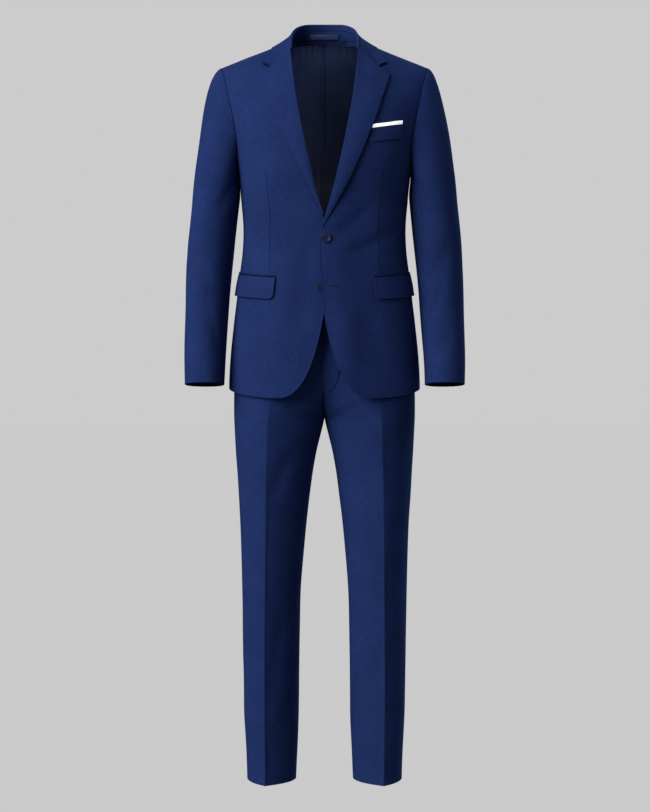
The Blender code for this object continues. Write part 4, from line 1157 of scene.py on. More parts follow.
def collar_outer(along, part):
    inward = inward_at(along)
    start = crease_at(along) - inward * COLLAR_FOLD - np.array([0, 0, COLLAR_FOLD])
    edge = collar_edge(along)
    away = unit(np.cross(edge - start, np.cross(inward, np.array([0, 0, 1.0]))))
    full = mix(COLLAR_BACK_BULGE, COLLAR_SIDE_BULGE,
               ramp(COLLAR_BULGE_BACK, COLLAR_BULGE_SIDE, along))
    spots = lifted(mix(start, edge, part[..., None]), away, full * 4 * part * (1 - part))
    return mix(spots, collar_end(part), ramp(COLLAR_FLAT, 1.0, along)[..., None])


def collar_place(u, v):
    """u goes round the neck from the right, v from the inner seam over the crease to the edge."""
    along = np.abs(2 * u - 1)
    inner = collar_inner(along, np.clip(1 - v / FOLD_START, 0, 1))
    turn = pi * np.clip((v - FOLD_START) / (FOLD_END - FOLD_START), 0, 1)
    fold = lifted(crease_at(along), inward_at(along), COLLAR_FOLD * np.cos(turn))
    fold[..., 2] += COLLAR_FOLD * (np.sin(turn) - 1)
    outer = collar_outer(along, np.clip((v - FOLD_END) / (1 - FOLD_END), 0, 1))
    spots = np.where((v < FOLD_START)[..., None], inner, fold)
    spots = np.where((v > FOLD_END)[..., None], outer, spots)
    spots[..., 0] *= np.where(u < 0.5, -1, 1)
    return spots


def stand_place(u, v):
    along = np.abs(2 * u - 1) * STAND_REACH
    foot = neck_at(along) + np.array([0, 0, STAND_GAP])
    top = collar_inner(along, np.ones_like(along))
    spots = mix(foot, top + unit(foot - top) * STAND_GAP, v[..., None])
    spots[..., 0] *= np.where(u < 0.5, -1, 1)
    return spots


def loop_place(u, v):
    """The hanger loop: a flat band, sewn down at its ends and bowed off the stand between."""
    reach = LOOP_WIDE / 2 / NECK_OUT * SHOULDER_ALONG / STAND_REACH
    spots = stand_place(mix(0.5 - reach / 2, 0.5 + reach / 2, u), mix(LOOP_START, LOOP_END, v))
    bow = LOOP_BOW * np.sin(pi * u) ** 0.5 + LINING + ON_TOP
    round_off = LOOP_ROUND * np.cos(pi * (v - 0.5))
    return lifted(spots, way_out(spots, 1), bow + round_off)


def make_collar():
    cloth("collar_fall", collar_place, (220, 64), thick=COLLAR_THICK,
          across=spread(220, 2, 0.3))
    cloth("collar_stand", stand_place, (120, 12), seams=("top",))
    cloth("hanger_loop", loop_place, (50, 10), thick=LINING, finishes=("lining_satin",))


# --- Lapels ---------------------------------------------------------------------------------------
def lapel_place(side):
    """u turns over the roll line, then goes out to the edge; v goes from the foot to the gorge."""

    def place(u, v):
        part = np.clip((u - ROLL_SHARE) / (1 - ROLL_SHARE), 0, 1)
        narrow = ramp(0.0, LAPEL_NARROW, v)
        near_top = ramp(LAPEL_TOP_START, 1.0, v)
        radius = LAPEL_ROLL * mix(LAPEL_FOOT_ROLL, 1.0, narrow)

        roll_drop = mix(LAPEL_END[side], GORGE_DROP, v)
        edge_drop = mix(LAPEL_END[side], LAPEL_TIP[1], v)
        roll_out = read(LAPEL, "roll", roll_drop) + radius
        edge_out = np.maximum(read(LAPEL, side, edge_drop), roll_out + LAPEL_LEAST_WIDE)
        out = mix(roll_out, edge_out, part)
        dip = NOTCH[1] - mix(GORGE_DROP, LAPEL_TIP[1], NOTCH_SHARE)
        bent = np.minimum(part / NOTCH_SHARE, (1 - part) / (1 - NOTCH_SHARE))
        drop = mix(roll_drop, edge_drop, part) + dip * bent * v**LAPEL_TOP_BEND

        lift = LAPEL_EDGE_LIFT[side] * ramp(LAPEL_LIFT_START, LAPEL_LIFT_FULL, v)
        edge_lift = lift * mix(1.0, LAPEL_TOP_LIFT, near_top)
        toward_edge = ramp(0.5 * near_top, 1.0, part)
        high = LAPEL_THICK + ON_TOP + mix(LAPEL_ROLL_HIGH * narrow, edge_lift, toward_edge)
        high = high + LAPEL_BULGE * np.sin(pi * part) * narrow
        spots = on_torso(out, drop)
        spots[..., 1] -= lap(out, drop, side)
        way = out_of_torso(out, drop)
        turn = ROLL_UNDER * np.clip(1 - u / ROLL_SHARE, 0, 1)
        spots = lifted(spots, way, high - radius * (1 - np.cos(turn)))
        side_way = unit(on_torso(out + LAPEL_SIDE_STEP, drop) - on_torso(out, drop))
        return lifted(spots, side_way, -radius * np.sin(turn))

    return place


def make_lapels():
    round_roll = spread(LAPEL_COLUMNS[0], 1, 0.0) * ROLL_SHARE
    to_edge = ROLL_SHARE + spread(LAPEL_COLUMNS[1], 1, 0.5) * (1 - ROLL_SHARE)
    across = np.unique(np.concatenate([round_roll, to_edge]))
    for side in SIDES:
        cloth(f"lapel_{side}", lapel_place(side), (64, 130), side, thick=LAPEL_THICK - ON_TOP,
              across=across)


# --- Sleeves --------------------------------------------------------------------------------------
def sleeve_tube(turn, drop):
    inner, outer, front, back = (read(SLEEVE, name, drop) for name in Sleeve._fields[1:])
    across = power(np.cos(turn), 2 / SLEEVE_SQUARE) * (outer - inner) / 2
    along = power(np.sin(turn), 2 / SLEEVE_SQUARE) * (back - front) / 2
    tilt = CUFF_TILT * along * ramp(SLEEVE[0].drop, CUFF_DROP, drop)
    return point((inner + outer) / 2 + across, (front + back) / 2 - along, -drop + tilt)


def armhole_ring(turn):
    turn = np.mod(turn, 2 * pi)
    behind = turn > pi
    return torso(*armhole(np.where(behind, 2 * pi - turn, turn) / pi, behind))


def sleeve_place(start_turn, end_turn):
    """u goes round the arm, and v from the cuff up to the armhole."""

    def place(u, v):
        turn = mix(start_turn, end_turn, u)
        tube = sleeve_tube(turn, mix(CUFF_DROP, SLEEVE[0].drop, np.minimum(v / TUBE_SHARE, 1)))
        t = np.clip((1 - v) / (1 - TUBE_SHARE), 0, 1)[..., None]
        top = (1 + np.cos(turn)) / 2
        down = CAP_DOWN + CAP_SIDE_DOWN * np.sin(turn) ** 2 + CAP_UNDER_DOWN * (1 - top)
        start = point(CAP_OUT * top, -CAP_FORWARD * np.sin(turn), -down)
        ring = armhole_ring(turn) - unit(start) * SLEEVE_LAP
        ring[..., 0] -= SLEEVE_LAP * np.maximum(-np.sin(turn), 0)
        end = sleeve_tube(turn, SLEEVE[0].drop + 0 * turn)
        below = sleeve_tube(turn, SLEEVE[0].drop + CAP_STEP + 0 * turn)
        reach = np.linalg.norm(end - ring, axis=-1, keepdims=True)
        pull = unit(below - end) * reach * CAP_PULL
        start = start * np.minimum(1.0, reach / CAP_REACH)
        cap = ring * (2 * t**3 - 3 * t**2 + 1) + start * (t**3 - 2 * t**2 + t)
        cap = cap + end * (3 * t**2 - 2 * t**3) + pull * (t**3 - t**2)
        return np.where((v <= TUBE_SHARE)[..., None], tube, cap)

    return place


def sleeve_relief(side, start_turn, end_turn, behind):
    folds = [fold._replace(out=radians(fold.out) * SLEEVE_RADIUS,
                           to_out=radians(fold.to_out) * SLEEVE_RADIUS)
             for fold in SLEEVE_FOLDS[side]]

    def relief(spots, u, v):
        turn = mix(start_turn, end_turn, u)
        drop = -spots[..., 2]
        height = sum(creases(folds, (turn + whole) * SLEEVE_RADIUS, drop) for whole in (0, -2 * pi))
        seed = WAVE_SEED["sleeve"] + len(folds)
        height = height + uneven(turn * SLEEVE_RADIUS, drop, seed, WAVE_HIGH["sleeve"])
        edge = ramp(0, SLEEVE_SEAM_FADE, 1 - u if behind else u)
        return height * suit_props().creasing * ramp(1.0, SLEEVE_TOP_FADE, v) * edge

    return relief


def make_sleeves():
    gap = SLEEVE_SEAM_ANGLE
    for side in SIDES:
        for name, start, end, columns in (
            ("top_sleeve", HINDARM_SEAM - 2 * pi + gap, FOREARM_SEAM - gap, 96),
            ("under_sleeve", FOREARM_SEAM + gap, HINDARM_SEAM - gap, 60),
        ):
            relief = sleeve_relief(side, start, end, name == "under_sleeve")
            cloth(f"{name}_{side}", sleeve_place(start, end), (columns, 140), side, -1,
                  relief=relief, finishes=("suiting", "lining_satin"),
                  across=spread(columns, 1, 0.25), seams=("top",))


# --- Pockets --------------------------------------------------------------------------------------
def pocket_spot(along, below, lean):
    drop = POCKET_DROP - POCKET_RISE * along + below
    start = angle_at(POCKET_OUT + lean, drop)
    return torso(mix(start, POCKET_END_ANGLE, along), drop)


def jet_place(u, v):
    spots = pocket_spot(u, JET_HIGH * (1 - v), 0 * u)
    return lifted(spots, way_out(spots, 1), ON_TOP + CLOTH + JET_BULGE * np.sin(pi * v))


def flap_place(u, v):
    below = FLAP_HIGH * (1 - v)
    in_corner = np.clip((below - FLAP_HIGH + FLAP_CORNER) / FLAP_CORNER, 0, 1)
    round_off = FLAP_CORNER * FLAP_ROUND * (1 - (1 - in_corner**2) ** 0.5)
    lean = FLAP_SLANT * (1 - v) + round_off
    spots = pocket_spot(u, JET_HIGH + SEAM + below, lean)
    plain = pocket_spot(u, JET_HIGH + SEAM + below, FLAP_SLANT * (1 - v))
    stands = ON_TOP + FLAP_THICK + FLAP_STANDS * (1 - v) + FLAP_BULGE * np.sin(pi * v)
    return lifted(spots, way_out(plain, 1), stands)


def welt_line(along, above):
    lean = WELT_LEAN * mix(1.0, WELT_END_LEAN, along)
    out = WELT_OUT + WELT_WIDE * along + lean * above / WELT_HIGH
    return on_torso(out, WELT_TOP_DROP - WELT_RISE * (out - WELT_OUT) - above)


def welt_place(u, v):
    spots = welt_line(u, -WELT_HIGH * (1 - v))
    return lifted(spots, way_out(spots, 1), ON_TOP / 2 + CLOTH)


def square_place(u, v):
    spots = welt_line((SQUARE_START + SQUARE_WIDE * u) / WELT_WIDE, mix(SEAM, SQUARE_HIGH, v))
    wavy = SQUARE_WAVE * np.sin(u * SQUARE_WAVE_TURN) * v
    return lifted(spots, way_out(spots, 1), ON_TOP + LINING + SQUARE_CLEAR + wavy)


def make_pockets():
    for side in SIDES:
        cloth(f"jet_{side}", jet_place, (60, 8), side, seams=("foot", "top"))
        cloth(f"flap_{side}", flap_place, (72, 40), side, thick=FLAP_THICK, seams=("top",),
              turned=("start", "end", "foot"))
    cloth("breast_welt", welt_place, (50, 20), seams=("start",))
    cloth("pocket_square", square_place, (40, 10), thick=LINING, finishes=("light_cotton",))


# --- Buttons and buttonholes ----------------------------------------------------------------------
def button_body(name):
    """A turned button with a raised rim and a dished middle."""
    mesh = bmesh.new()
    rings = []
    turns = np.linspace(0, 2 * pi, BUTTON_SIDES, endpoint=False)
    for share, high in BUTTON_PROFILE[1:-1]:
        out = BUTTON_RADIUS * share
        rings.append([mesh.verts.new((out * np.cos(turn), out * np.sin(turn), BUTTON_HIGH * high))
                      for turn in turns])
    top = mesh.verts.new((0, 0, BUTTON_HIGH * BUTTON_PROFILE[0][1]))
    bottom = mesh.verts.new((0, 0, 0))
    for k in range(BUTTON_SIDES):
        nxt = (k + 1) % BUTTON_SIDES
        mesh.faces.new((top, rings[0][k], rings[0][nxt]))
        mesh.faces.new((bottom, rings[-1][nxt], rings[-1][k]))
        for low, high in zip(rings, rings[1:]):
            mesh.faces.new((low[k], high[k], high[nxt], low[nxt]))
    bmesh.ops.recalc_face_normals(mesh, faces=mesh.faces[:])
    return made_object(name, mesh, "button_horn")


def drill(body, name):
    """Cuts the holes for the thread through a button."""
    mesh = bmesh.new()
    for hole in range(BUTTON_HOLES):
        turn = (2 * hole + 1) * pi / BUTTON_HOLES
        made = bmesh.ops.create_cone(mesh, cap_ends=True, segments=BUTTON_HOLE_SIDES,
                                     radius1=BUTTON_HOLE, radius2=BUTTON_HOLE,
                                     depth=BUTTON_HIGH * 4)
        shift = Vector((np.cos(turn), np.sin(turn), 0)) * BUTTON_HOLE_OUT
        bmesh.ops.translate(mesh, verts=made["verts"], vec=shift)
    cutter = made_object(f"{name}_cutter", mesh, "button_horn")
    cut = body.modifiers.new("Holes", "BOOLEAN")
    cut.operation = "DIFFERENCE"
    cut.solver = "EXACT"
    cut.object = cutter
    bpy.context.view_layer.update()
    graph = bpy.context.evaluated_depsgraph_get()
    body.data = bpy.data.meshes.new_from_object(body.evaluated_get(graph))
    body.modifiers.clear()
    bpy.data.objects.remove(cutter)


def button(name, spot, lift):
    """A button with four holes, sewn on with two bars of thread at its place on the front."""
    body = button_body(name)
    drill(body, name)
    out, drop = np.array(spot[0]), np.array(spot[1])
    way = Vector(out_of_torso(out, drop).tolist())
    turn = way.to_track_quat("Z", "Y").to_matrix().to_4x4()
    turn.translation = Vector(on_torso(out, drop).tolist()) + way * lift
    body.matrix_world = turn
    threads = sewing(f"{name}_thread", turn)
    for piece, finish in ((body, "button_horn"), (threads, "thread")):
        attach(piece, "root")
    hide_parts(name)


def made_object(name, mesh, finish):
    data = bpy.data.meshes.new(name)
    mesh.to_mesh(data)
    mesh.free()
    data.materials.append(cloth_finish(finish))
    return put(f"{name}_piece", data)


def tube(name, path, radius, finish, closed=False, sides=8):
    """A closed tube of thread along a path."""
    path = np.asarray(path, float)
    if closed:
        ahead, behind = np.roll(path, -1, axis=0), np.roll(path, 1, axis=0)
    else:
        ahead, behind = np.vstack([path[1:], path[-1:]]), np.vstack([path[:1], path[:-1]])
    along = unit(ahead - behind)
    side = unit(np.cross(along, np.array([0.05, -1.0, 0.11])))
    third = np.cross(along, side)
    mesh = bmesh.new()
    rings = []
    for spot, a, b in zip(path, side, third):
        rings.append([mesh.verts.new(tuple(spot + radius * (a * np.cos(t) + b * np.sin(t))))
                      for t in np.linspace(0, 2 * pi, sides, endpoint=False)])
    pairs = list(zip(rings, rings[1:])) + ([(rings[-1], rings[0])] if closed else [])
    for one, other in pairs:
        for k in range(sides):
            nxt = (k + 1) % sides
            mesh.faces.new((one[k], one[nxt], other[nxt], other[k]))
    if not closed:
        mesh.faces.new(rings[0][::-1])
        mesh.faces.new(rings[-1])
    bmesh.ops.recalc_face_normals(mesh, faces=mesh.faces[:])
    for part in mesh.faces:
        part.smooth = True
    return made_object(name, mesh, finish)


def sewing(name, turn):
    """Two bars of thread through the button's holes."""
    reach = BUTTON_HOLE_OUT * SEWING_ACROSS
    bars = []
    for k, sign in enumerate((1, -1)):
        path = []
        for t in np.linspace(-1, 1, SEWING_SPOTS):
            high = BUTTON_HIGH * (SEWING_HIGH - SEWING_SINKS * abs(t) ** 6)
            high += SEWING_LIFT + SEWING_LIFT * (1 - t * t)
            path.append(tuple(turn @ Vector((reach * t, sign * reach, high))))
        bars.append(tube(f"{name}_{k}", path, SEWING_RADIUS, "thread"))
    joined = bmesh.new()
    for bar in bars:
        joined.from_mesh(bar.data)
    joined.to_mesh(bars[0].data)
    joined.free()
    bpy.data.objects.remove(bars[1])
    return bars[0]


def buttonhole(name, start, end, lift):
    """A worked buttonhole, as an oval of thread."""
    turns = np.linspace(0, 2 * pi, STITCH_SPOTS, endpoint=False)
    start, end = np.array(start), np.array(end)
    length = np.hypot(*(end - start))
    way = (end - start) / length
    across = np.array([-way[1], way[0]])
    long_part = length / 2 * power(np.cos(turns), 0.5)
    wide_part = BUTTONHOLE_HALF_WIDE * power(np.sin(turns), 0.7)
    flat = (start + end) / 2 + np.outer(long_part, way) + np.outer(wide_part, across)
    out, drop = flat[:, 0], flat[:, 1]
    spots = on_torso(out, drop)
    spots[..., 1] -= lap(out, drop, "left")
    spots = lifted(spots, out_of_torso(out, drop), lift)
    piece = tube(name, spots, STITCH_RADIUS, "thread", closed=True)
    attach(piece, "root")


def make_buttons():
    button("button_top", TOP_BUTTON, LAP_LIFT + TOP_BUTTON_CLEAR)
    button("button_low", LOW_BUTTON, LOW_BUTTON_CLEAR)
    for hole in BUTTONHOLES:
        buttonhole(*hole)


# --- Trousers -------------------------------------------------------------------------------------
def leg_spot(drop, part, behind):
    crease_out = read(LEG, "crease", drop) - (BACK_CREASE_IN if behind else 0.0)
    crease_y = read(LEG, "back" if behind else "front", drop)
    away = np.sin(np.abs(2 * part - 1) * pi / 2)
    swell = (1 - away) ** 0.5 * (1 + read(LEG, "round", drop) * away)
    joined = ramp(CROTCH_DROP, LEGS_JOINED, drop)
    inner_swell = mix(swell, (2 * part) * (2 - 2 * part), joined)
    inner_away = mix(away, 1 - 2 * part, joined)
    edge_y = read(LEG, "inner_back" if behind else "inner_front", drop)
    in_y = mix(edge_y, crease_y, inner_swell)
    in_out = mix(crease_out, read(LEG, "inner", drop), inner_away)
    out_y = mix(read(LEG, "side", drop), crease_y, swell)
    out_out = mix(crease_out, read(LEG, "outer", drop), away)
    inner = part < 0.5
    shift = SEAM / 2 if behind else -SEAM / 2
    return point(np.where(inner, in_out, out_out), np.where(inner, in_y, out_y) + shift, -drop)


def leg_place(behind):
    def place(u, v):
        end = LEG_END_DROP + (0.0 if behind else HEM_POINT) * (1 - np.abs(2 * u - 1))
        return leg_spot(mix(end, WAIST_SEAM_DROP, v), u, behind)

    return place


def leg_relief(folds, seed, behind):
    def relief(spots, u, v):
        out, drop = places(spots)
        height = creases(folds, out, drop) + uneven(out, drop, seed, WAVE_HIGH["leg"])
        by_crease = bell(u - 0.5, LEG_PRESSED_WIDE)
        pressed = 1 - LEG_PRESSED * by_crease * ramp(LEG_PRESSED_START, LEG_PRESSED_FULL, drop)
        edge = ramp(0, LEG_SEAM_FADE, u) * ramp(1, 1 - LEG_SEAM_FADE, u) * ramp(0, LEG_HEM_FADE, v)
        shown = ramp(LEG_FOLDS_START, LEG_FOLDS_FULL, drop)
        off = np.abs(out) - read(LEG, "crease", drop) + (BACK_CREASE_IN if behind else 0.0)
        ridge = LEG_RIDGE * bell(off, LEG_RIDGE_WIDE) * ramp(LEG_RIDGE_START, LEG_RIDGE_FULL, drop)
        return height * suit_props().creasing * pressed * edge * shown + ridge

    return relief


def band_place(u, v):
    drop = mix(WAIST_SEAM_DROP - BAND_GAP, WAIST_TOP_DROP, v)
    front = leg_spot(drop, np.clip(2 * u, 0, 1), False)
    back = leg_spot(drop, np.clip(2 * (1 - u), 0, 1), True)
    front[..., 1] += SEAM / 2
    back[..., 1] -= SEAM / 2
    return np.where((u > 0.5)[..., None], back, front)


def fly_place(u, v):
    drop = mix(FLY_END_DROP, WAIST_SEAM_DROP + SEAM, v)
    curve = np.clip((drop - FLY_CURVE_DROP) / (FLY_END_DROP - FLY_CURVE_DROP), 0, 1)
    out = mix(FLY_RIGHT, FLY_LEFT, u)
    out = np.where(out > 0, out * (1 - (FLY_FOOT * curve) ** 2) ** 0.5, out)
    spots = leg_spot(drop, np.abs(out) / read(LEG, "crease", drop) / 2, False)
    spots[..., 0] = out
    spots[..., 1] -= ON_TOP / 2 + FLY_THICK
    return spots


def make_trousers():
    both = ("suiting", "suiting_inside")
    across = spread(96, 2, 0.75)
    for side in SIDES:
        cloth(f"trouser_front_{side}", leg_place(False), (96, 170), side, across=across,
              relief=leg_relief(LEG_FRONT_FOLDS, WAVE_SEED["leg_front"], False), finishes=both,
              seams=("start", "end", "top", "fly"))
        cloth(f"trouser_back_{side}", leg_place(True), (96, 120), side, -1, across=across,
              relief=leg_relief(LEG_BACK_FOLDS, WAVE_SEED["leg_back"], True), finishes=both,
              seams=("start", "top"))
        cloth(f"waistband_{side}", band_place, (100, 8), side, finishes=both, seams=("foot",))
    cloth("fly", fly_place, (30, 70), thick=FLY_THICK)


# --- Studio ---------------------------------------------------------------------------------------
CAMERA_SPOT = (0.0010, -4.58, -0.7727)
CAMERA_LENS = 95.9
CAMERA_SENSOR = 36.0
CAMERA_END = 1000.0
FLOOR_DROP = 4.20
FLOOR_HALF = 400.0
SUIT_MIDDLE = (0.0, -0.1, -0.6)
KEY_REACH = 6.0
KEY_SIZE = 5.0
NECK_MIDDLE = (0.0, 0.03, -0.12)
INNER_REACH = 0.50
INNER_SIZE = 0.30
KEY_TURN = (64, 0, -52)  # turns and the suns' sizes are in degrees
BACK_TURN = (62, 0, 155)
SIDE_TURN = (42, 0, 104)
FLOOR_TURN = (50, 0, -30)
INNER_TURN = (60, 0, 20)
SUN_SIZE = 30


def wide_floor():
    """A plain pale floor far below the suit, which reaches past the edge of every view."""
    mesh = bpy.data.meshes.new("studio_floor")
    corners = [(-1, -1), (1, -1), (1, 1), (-1, 1)]
    mesh.from_pydata([(x * FLOOR_HALF, y * FLOOR_HALF, -FLOOR_DROP) for x, y in corners], [],
                     [(0, 1, 2, 3)])
    material = bpy.data.materials.new("studio_paper")
    material.use_nodes = True
    tree = material.node_tree
    shader = tree.nodes["Principled BSDF"]
    tone = bpy.context.scene.suit_studio.paper_tone
    grain = speckle(tree, 40.0, 2.0)
    colour = colours(tree, grain, [(0.3, (tone * 0.995,) * 3), (0.7, (tone,) * 3)])
    link(tree, colour, shader.inputs["Base Color"])
    shader.inputs["Roughness"].default_value = 0.95
    shader.inputs["Specular IOR Level"].default_value = 0.0
    mesh.materials.append(material)
    floor = put("studio_floor", mesh)
    floor.visible_diffuse = False
    return floor


def sun(name, strength, turn):
    """A far, wide light."""
    data = bpy.data.lights.new(name, "SUN")
    data.energy = strength
    data.angle = radians(SUN_SIZE)
    piece = put(name, data)
    piece.rotation_euler = [radians(value) for value in turn]
    return piece


def softbox(name, strength, turn, reach, size, target=SUIT_MIDDLE):
    """A round softbox that faces its target from a distance."""
    data = bpy.data.lights.new(name, "AREA")
    data.shape = "DISK"
    data.size = size
    data.energy = strength * pi * reach**2
    piece = put(name, data)
    piece.rotation_euler = [radians(value) for value in turn]
    way = piece.rotation_euler.to_matrix() @ Vector((0, 0, 1))
    piece.location = Vector(target) + way * reach
    piece.visible_camera = False
    return piece


def shines_on(piece, receivers, state):
    """Makes a light shine only on the receivers, or on everything else."""
    group = bpy.data.collections.new(f"{piece.name}_on")
    for receiver in receivers:
        group.objects.link(receiver)
    for member in group.collection_objects:
        member.light_linking.link_state = state
    piece.light_linking.receiver_collection = group


def studio_air(props):
    """Air that looks as pale as the floor, but lights the suit only a little."""
    world = bpy.data.worlds.new("studio_air")
    world.use_nodes = True
    tree = world.node_tree
    air = tree.nodes["Background"]
    seen = tree.nodes.new("ShaderNodeLightPath").outputs["Is Camera Ray"]
    shown = math_node(tree, "MULTIPLY", seen, props.air_tone - props.fill_strength)
    link(tree, math_node(tree, "ADD", shown, props.fill_strength), air.inputs["Strength"])
    air.inputs["Color"].default_value = (1, 1, 1, 1)
    bpy.context.scene.world = world


def make_studio():
    props = bpy.context.scene.suit_studio
    floor = wide_floor()
    key = softbox("key_light", props.key_strength, KEY_TURN, KEY_REACH, KEY_SIZE)
    side = sun("side_light", props.side_strength, SIDE_TURN)
    back = softbox("back_light", props.back_strength, BACK_TURN, KEY_REACH, KEY_SIZE)
    for piece in (key, side, back):
        shines_on(piece, [floor], "EXCLUDE")
    shines_on(sun("floor_light", props.floor_strength, FLOOR_TURN), [floor], "INCLUDE")
    studio_air(props)
    data = bpy.data.cameras.new("camera")
    data.lens = CAMERA_LENS
    data.sensor_width = CAMERA_SENSOR
    data.sensor_fit = "AUTO"
    data.clip_end = CAMERA_END
    camera = put("camera", data)
    camera.location = CAMERA_SPOT
    camera.rotation_euler = (pi / 2, 0, 0)
    bpy.context.scene.camera = camera
    bpy.context.scene.view_settings.view_transform = "Standard"


def make_inside_light():
    """A small softbox by the neck, which shines on the lining, the loop and the pocket square."""
    names = ("lining_left", "lining_right", "hanger_loop", "pocket_square")
    inner = softbox("inside_light", bpy.context.scene.suit_studio.inside_strength, INNER_TURN,
                    INNER_REACH, INNER_SIZE, NECK_MIDDLE)
    shines_on(inner, [bpy.data.objects[f"{name}_cloth"] for name in names], "INCLUDE")


# --- The add-on -----------------------------------------------------------------------------------
class SuitCloth(bpy.types.PropertyGroup):
    """Colours and finish of the suit."""

    wool_colour: bpy.props.FloatVectorProperty(
        name="Wool", description="Colour of the suiting", subtype="COLOR", size=3, min=0, max=1,
        default=(0.0165, 0.0330, 0.1270))
    lining_colour: bpy.props.FloatVectorProperty(
        name="Lining", description="Colour of the satin inside", subtype="COLOR", size=3, min=0,
        max=1, default=(0.0080, 0.0135, 0.0400))
    button_colour: bpy.props.FloatVectorProperty(
        name="Buttons", description="Colour of the buttons", subtype="COLOR", size=3, min=0,
        max=1, default=(0.0070, 0.0150, 0.0600))
    thread_colour: bpy.props.FloatVectorProperty(
        name="Thread", description="Colour of the sewing thread", subtype="COLOR", size=3, min=0,
        max=1, default=(0.0050, 0.0100, 0.0380))
    weave_pitch: bpy.props.FloatProperty(
        name="Weave pitch", description="Distance between the ribs of the twill", default=0.0011,
        min=0.0004, max=0.01, unit="LENGTH")
    creasing: bpy.props.FloatProperty(
        name="Creasing", description="How deep the creases are", default=1.0, min=0, max=3,
        subtype="FACTOR")


class SuitStudio(bpy.types.PropertyGroup):
    """Light and floor."""

    key_strength: bpy.props.FloatProperty(
        name="Key light", description="Strength of the softbox", default=3.60, min=0)
    side_strength: bpy.props.FloatProperty(
        name="Side light", description="Strength of the light from the far side", default=0.45,
        min=0)
    floor_strength: bpy.props.FloatProperty(
        name="Floor light", description="Strength of the light on the floor", default=3.10,
        min=0)
    back_strength: bpy.props.FloatProperty(
        name="Back light", description="Strength of the light from behind", default=2.8, min=0)
    inside_strength: bpy.props.FloatProperty(
        name="Inside light", description="Strength of the light on lining and pocket square",
        default=2.7, min=0)
    air_tone: bpy.props.FloatProperty(
        name="Air", description="Tone seen beyond the floor", default=0.604, min=0, max=1,
        subtype="FACTOR")
    fill_strength: bpy.props.FloatProperty(
        name="Fill light", description="Strength of the light from all round", default=0.17,
        min=0)
    paper_tone: bpy.props.FloatProperty(
        name="Paper", description="Tone of the floor", default=0.74, min=0, max=1,
        subtype="FACTOR")


class SUIT_OT_studio(bpy.types.Operator):
    """Floor, lights and camera."""

    bl_idname = "suit.studio"
    bl_label = "Studio"
    bl_options = {"REGISTER", "UNDO"}

    def execute(self, context):
        make_studio()
        return {"FINISHED"}


class SUIT_OT_body(bpy.types.Operator):
    """Fronts, sides and backs of the jacket."""

    bl_idname = "suit.body"
    bl_label = "Jacket body"
    bl_options = {"REGISTER", "UNDO"}

    def execute(self, context):
        make_body()
        return {"FINISHED"}


class SUIT_OT_inside(bpy.types.Operator):
    """Back lining and neck facing."""

    bl_idname = "suit.inside"
    bl_label = "Lining"
    bl_options = {"REGISTER", "UNDO"}

    def execute(self, context):
        make_inside()
        return {"FINISHED"}


class SUIT_OT_collar(bpy.types.Operator):
    """Collar, stand and hanger loop."""

    bl_idname = "suit.collar"
    bl_label = "Collar"
    bl_options = {"REGISTER", "UNDO"}

    def execute(self, context):
        make_collar()
        return {"FINISHED"}


class SUIT_OT_lapels(bpy.types.Operator):
    """The two lapels."""

    bl_idname = "suit.lapels"
    bl_label = "Lapels"
    bl_options = {"REGISTER", "UNDO"}

    def execute(self, context):
        make_lapels()
        return {"FINISHED"}


class SUIT_OT_sleeves(bpy.types.Operator):
    """Top and under sleeves."""

    bl_idname = "suit.sleeves"
    bl_label = "Sleeves"
    bl_options = {"REGISTER", "UNDO"}

    def execute(self, context):
        make_sleeves()
        return {"FINISHED"}


class SUIT_OT_pockets(bpy.types.Operator):
    """Jets, flaps, breast welt and pocket square."""

    bl_idname = "suit.pockets"
    bl_label = "Pockets"
    bl_options = {"REGISTER", "UNDO"}

    def execute(self, context):
        make_pockets()
        return {"FINISHED"}


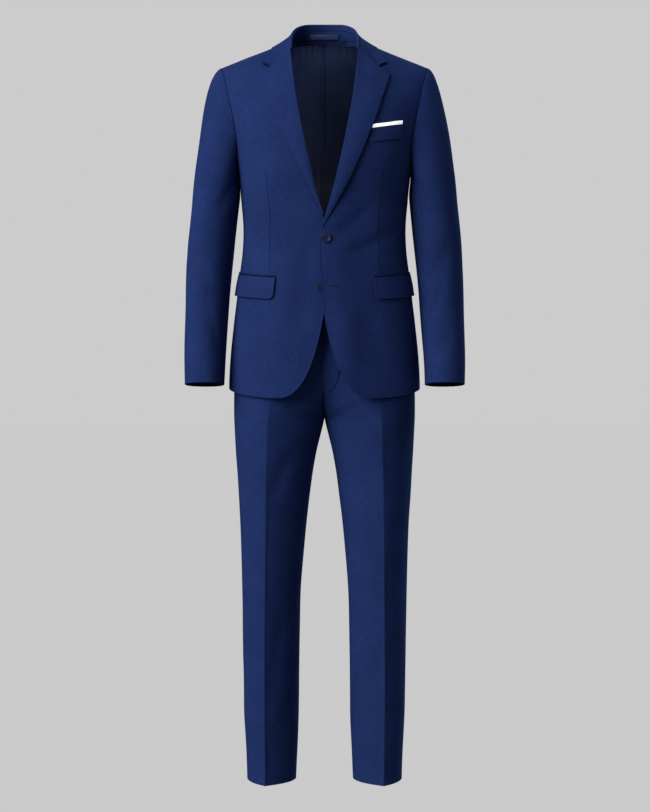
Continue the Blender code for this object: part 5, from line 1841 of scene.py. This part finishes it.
class SUIT_OT_buttons(bpy.types.Operator):
    """Buttons and buttonholes."""

    bl_idname = "suit.buttons"
    bl_label = "Buttons"
    bl_options = {"REGISTER", "UNDO"}

    def execute(self, context):
        make_buttons()
        return {"FINISHED"}


class SUIT_OT_trousers(bpy.types.Operator):
    """Trouser legs, waistband and fly."""

    bl_idname = "suit.trousers"
    bl_label = "Trousers"
    bl_options = {"REGISTER", "UNDO"}

    def execute(self, context):
        make_trousers()
        return {"FINISHED"}


class SUIT_OT_inside_light(bpy.types.Operator):
    """The light on the lining, the loop and the pocket square."""

    bl_idname = "suit.inside_light"
    bl_label = "Inside light"
    bl_options = {"REGISTER", "UNDO"}

    def execute(self, context):
        make_inside_light()
        return {"FINISHED"}


OPERATORS = (SUIT_OT_studio, SUIT_OT_body, SUIT_OT_inside, SUIT_OT_collar, SUIT_OT_lapels,
             SUIT_OT_sleeves, SUIT_OT_pockets, SUIT_OT_buttons, SUIT_OT_trousers,
             SUIT_OT_inside_light)


class SUIT_PT_panel(bpy.types.Panel):
    """Lists the suit's makers and settings."""

    bl_idname = "SUIT_PT_panel"
    bl_label = "Two-piece suit"
    bl_space_type = "VIEW_3D"
    bl_region_type = "UI"
    bl_category = "Suit"

    def draw(self, context):
        for group in (context.scene.suit_cloth, context.scene.suit_studio):
            for name in group.__annotations__:
                self.layout.prop(group, name)
        for operator in OPERATORS:
            self.layout.operator(operator.bl_idname)


CLASSES = (SuitCloth, SuitStudio, *OPERATORS, SUIT_PT_panel)


def register():
    for cls in CLASSES:
        bpy.utils.register_class(cls)
    bpy.types.Scene.suit_cloth = bpy.props.PointerProperty(type=SuitCloth)
    bpy.types.Scene.suit_studio = bpy.props.PointerProperty(type=SuitStudio)


def unregister():
    del bpy.types.Scene.suit_studio
    del bpy.types.Scene.suit_cloth
    for cls in reversed(CLASSES):
        bpy.utils.unregister_class(cls)


def main():
    for name in ("Cube", "Light", "Camera"):
        if name in bpy.data.objects:
            bpy.data.objects.remove(bpy.data.objects[name])
    register()
    for operator in OPERATORS:
        group, name = operator.bl_idname.split(".")
        getattr(getattr(bpy.ops, group), name)()


if __name__ == "__main__":
    main()
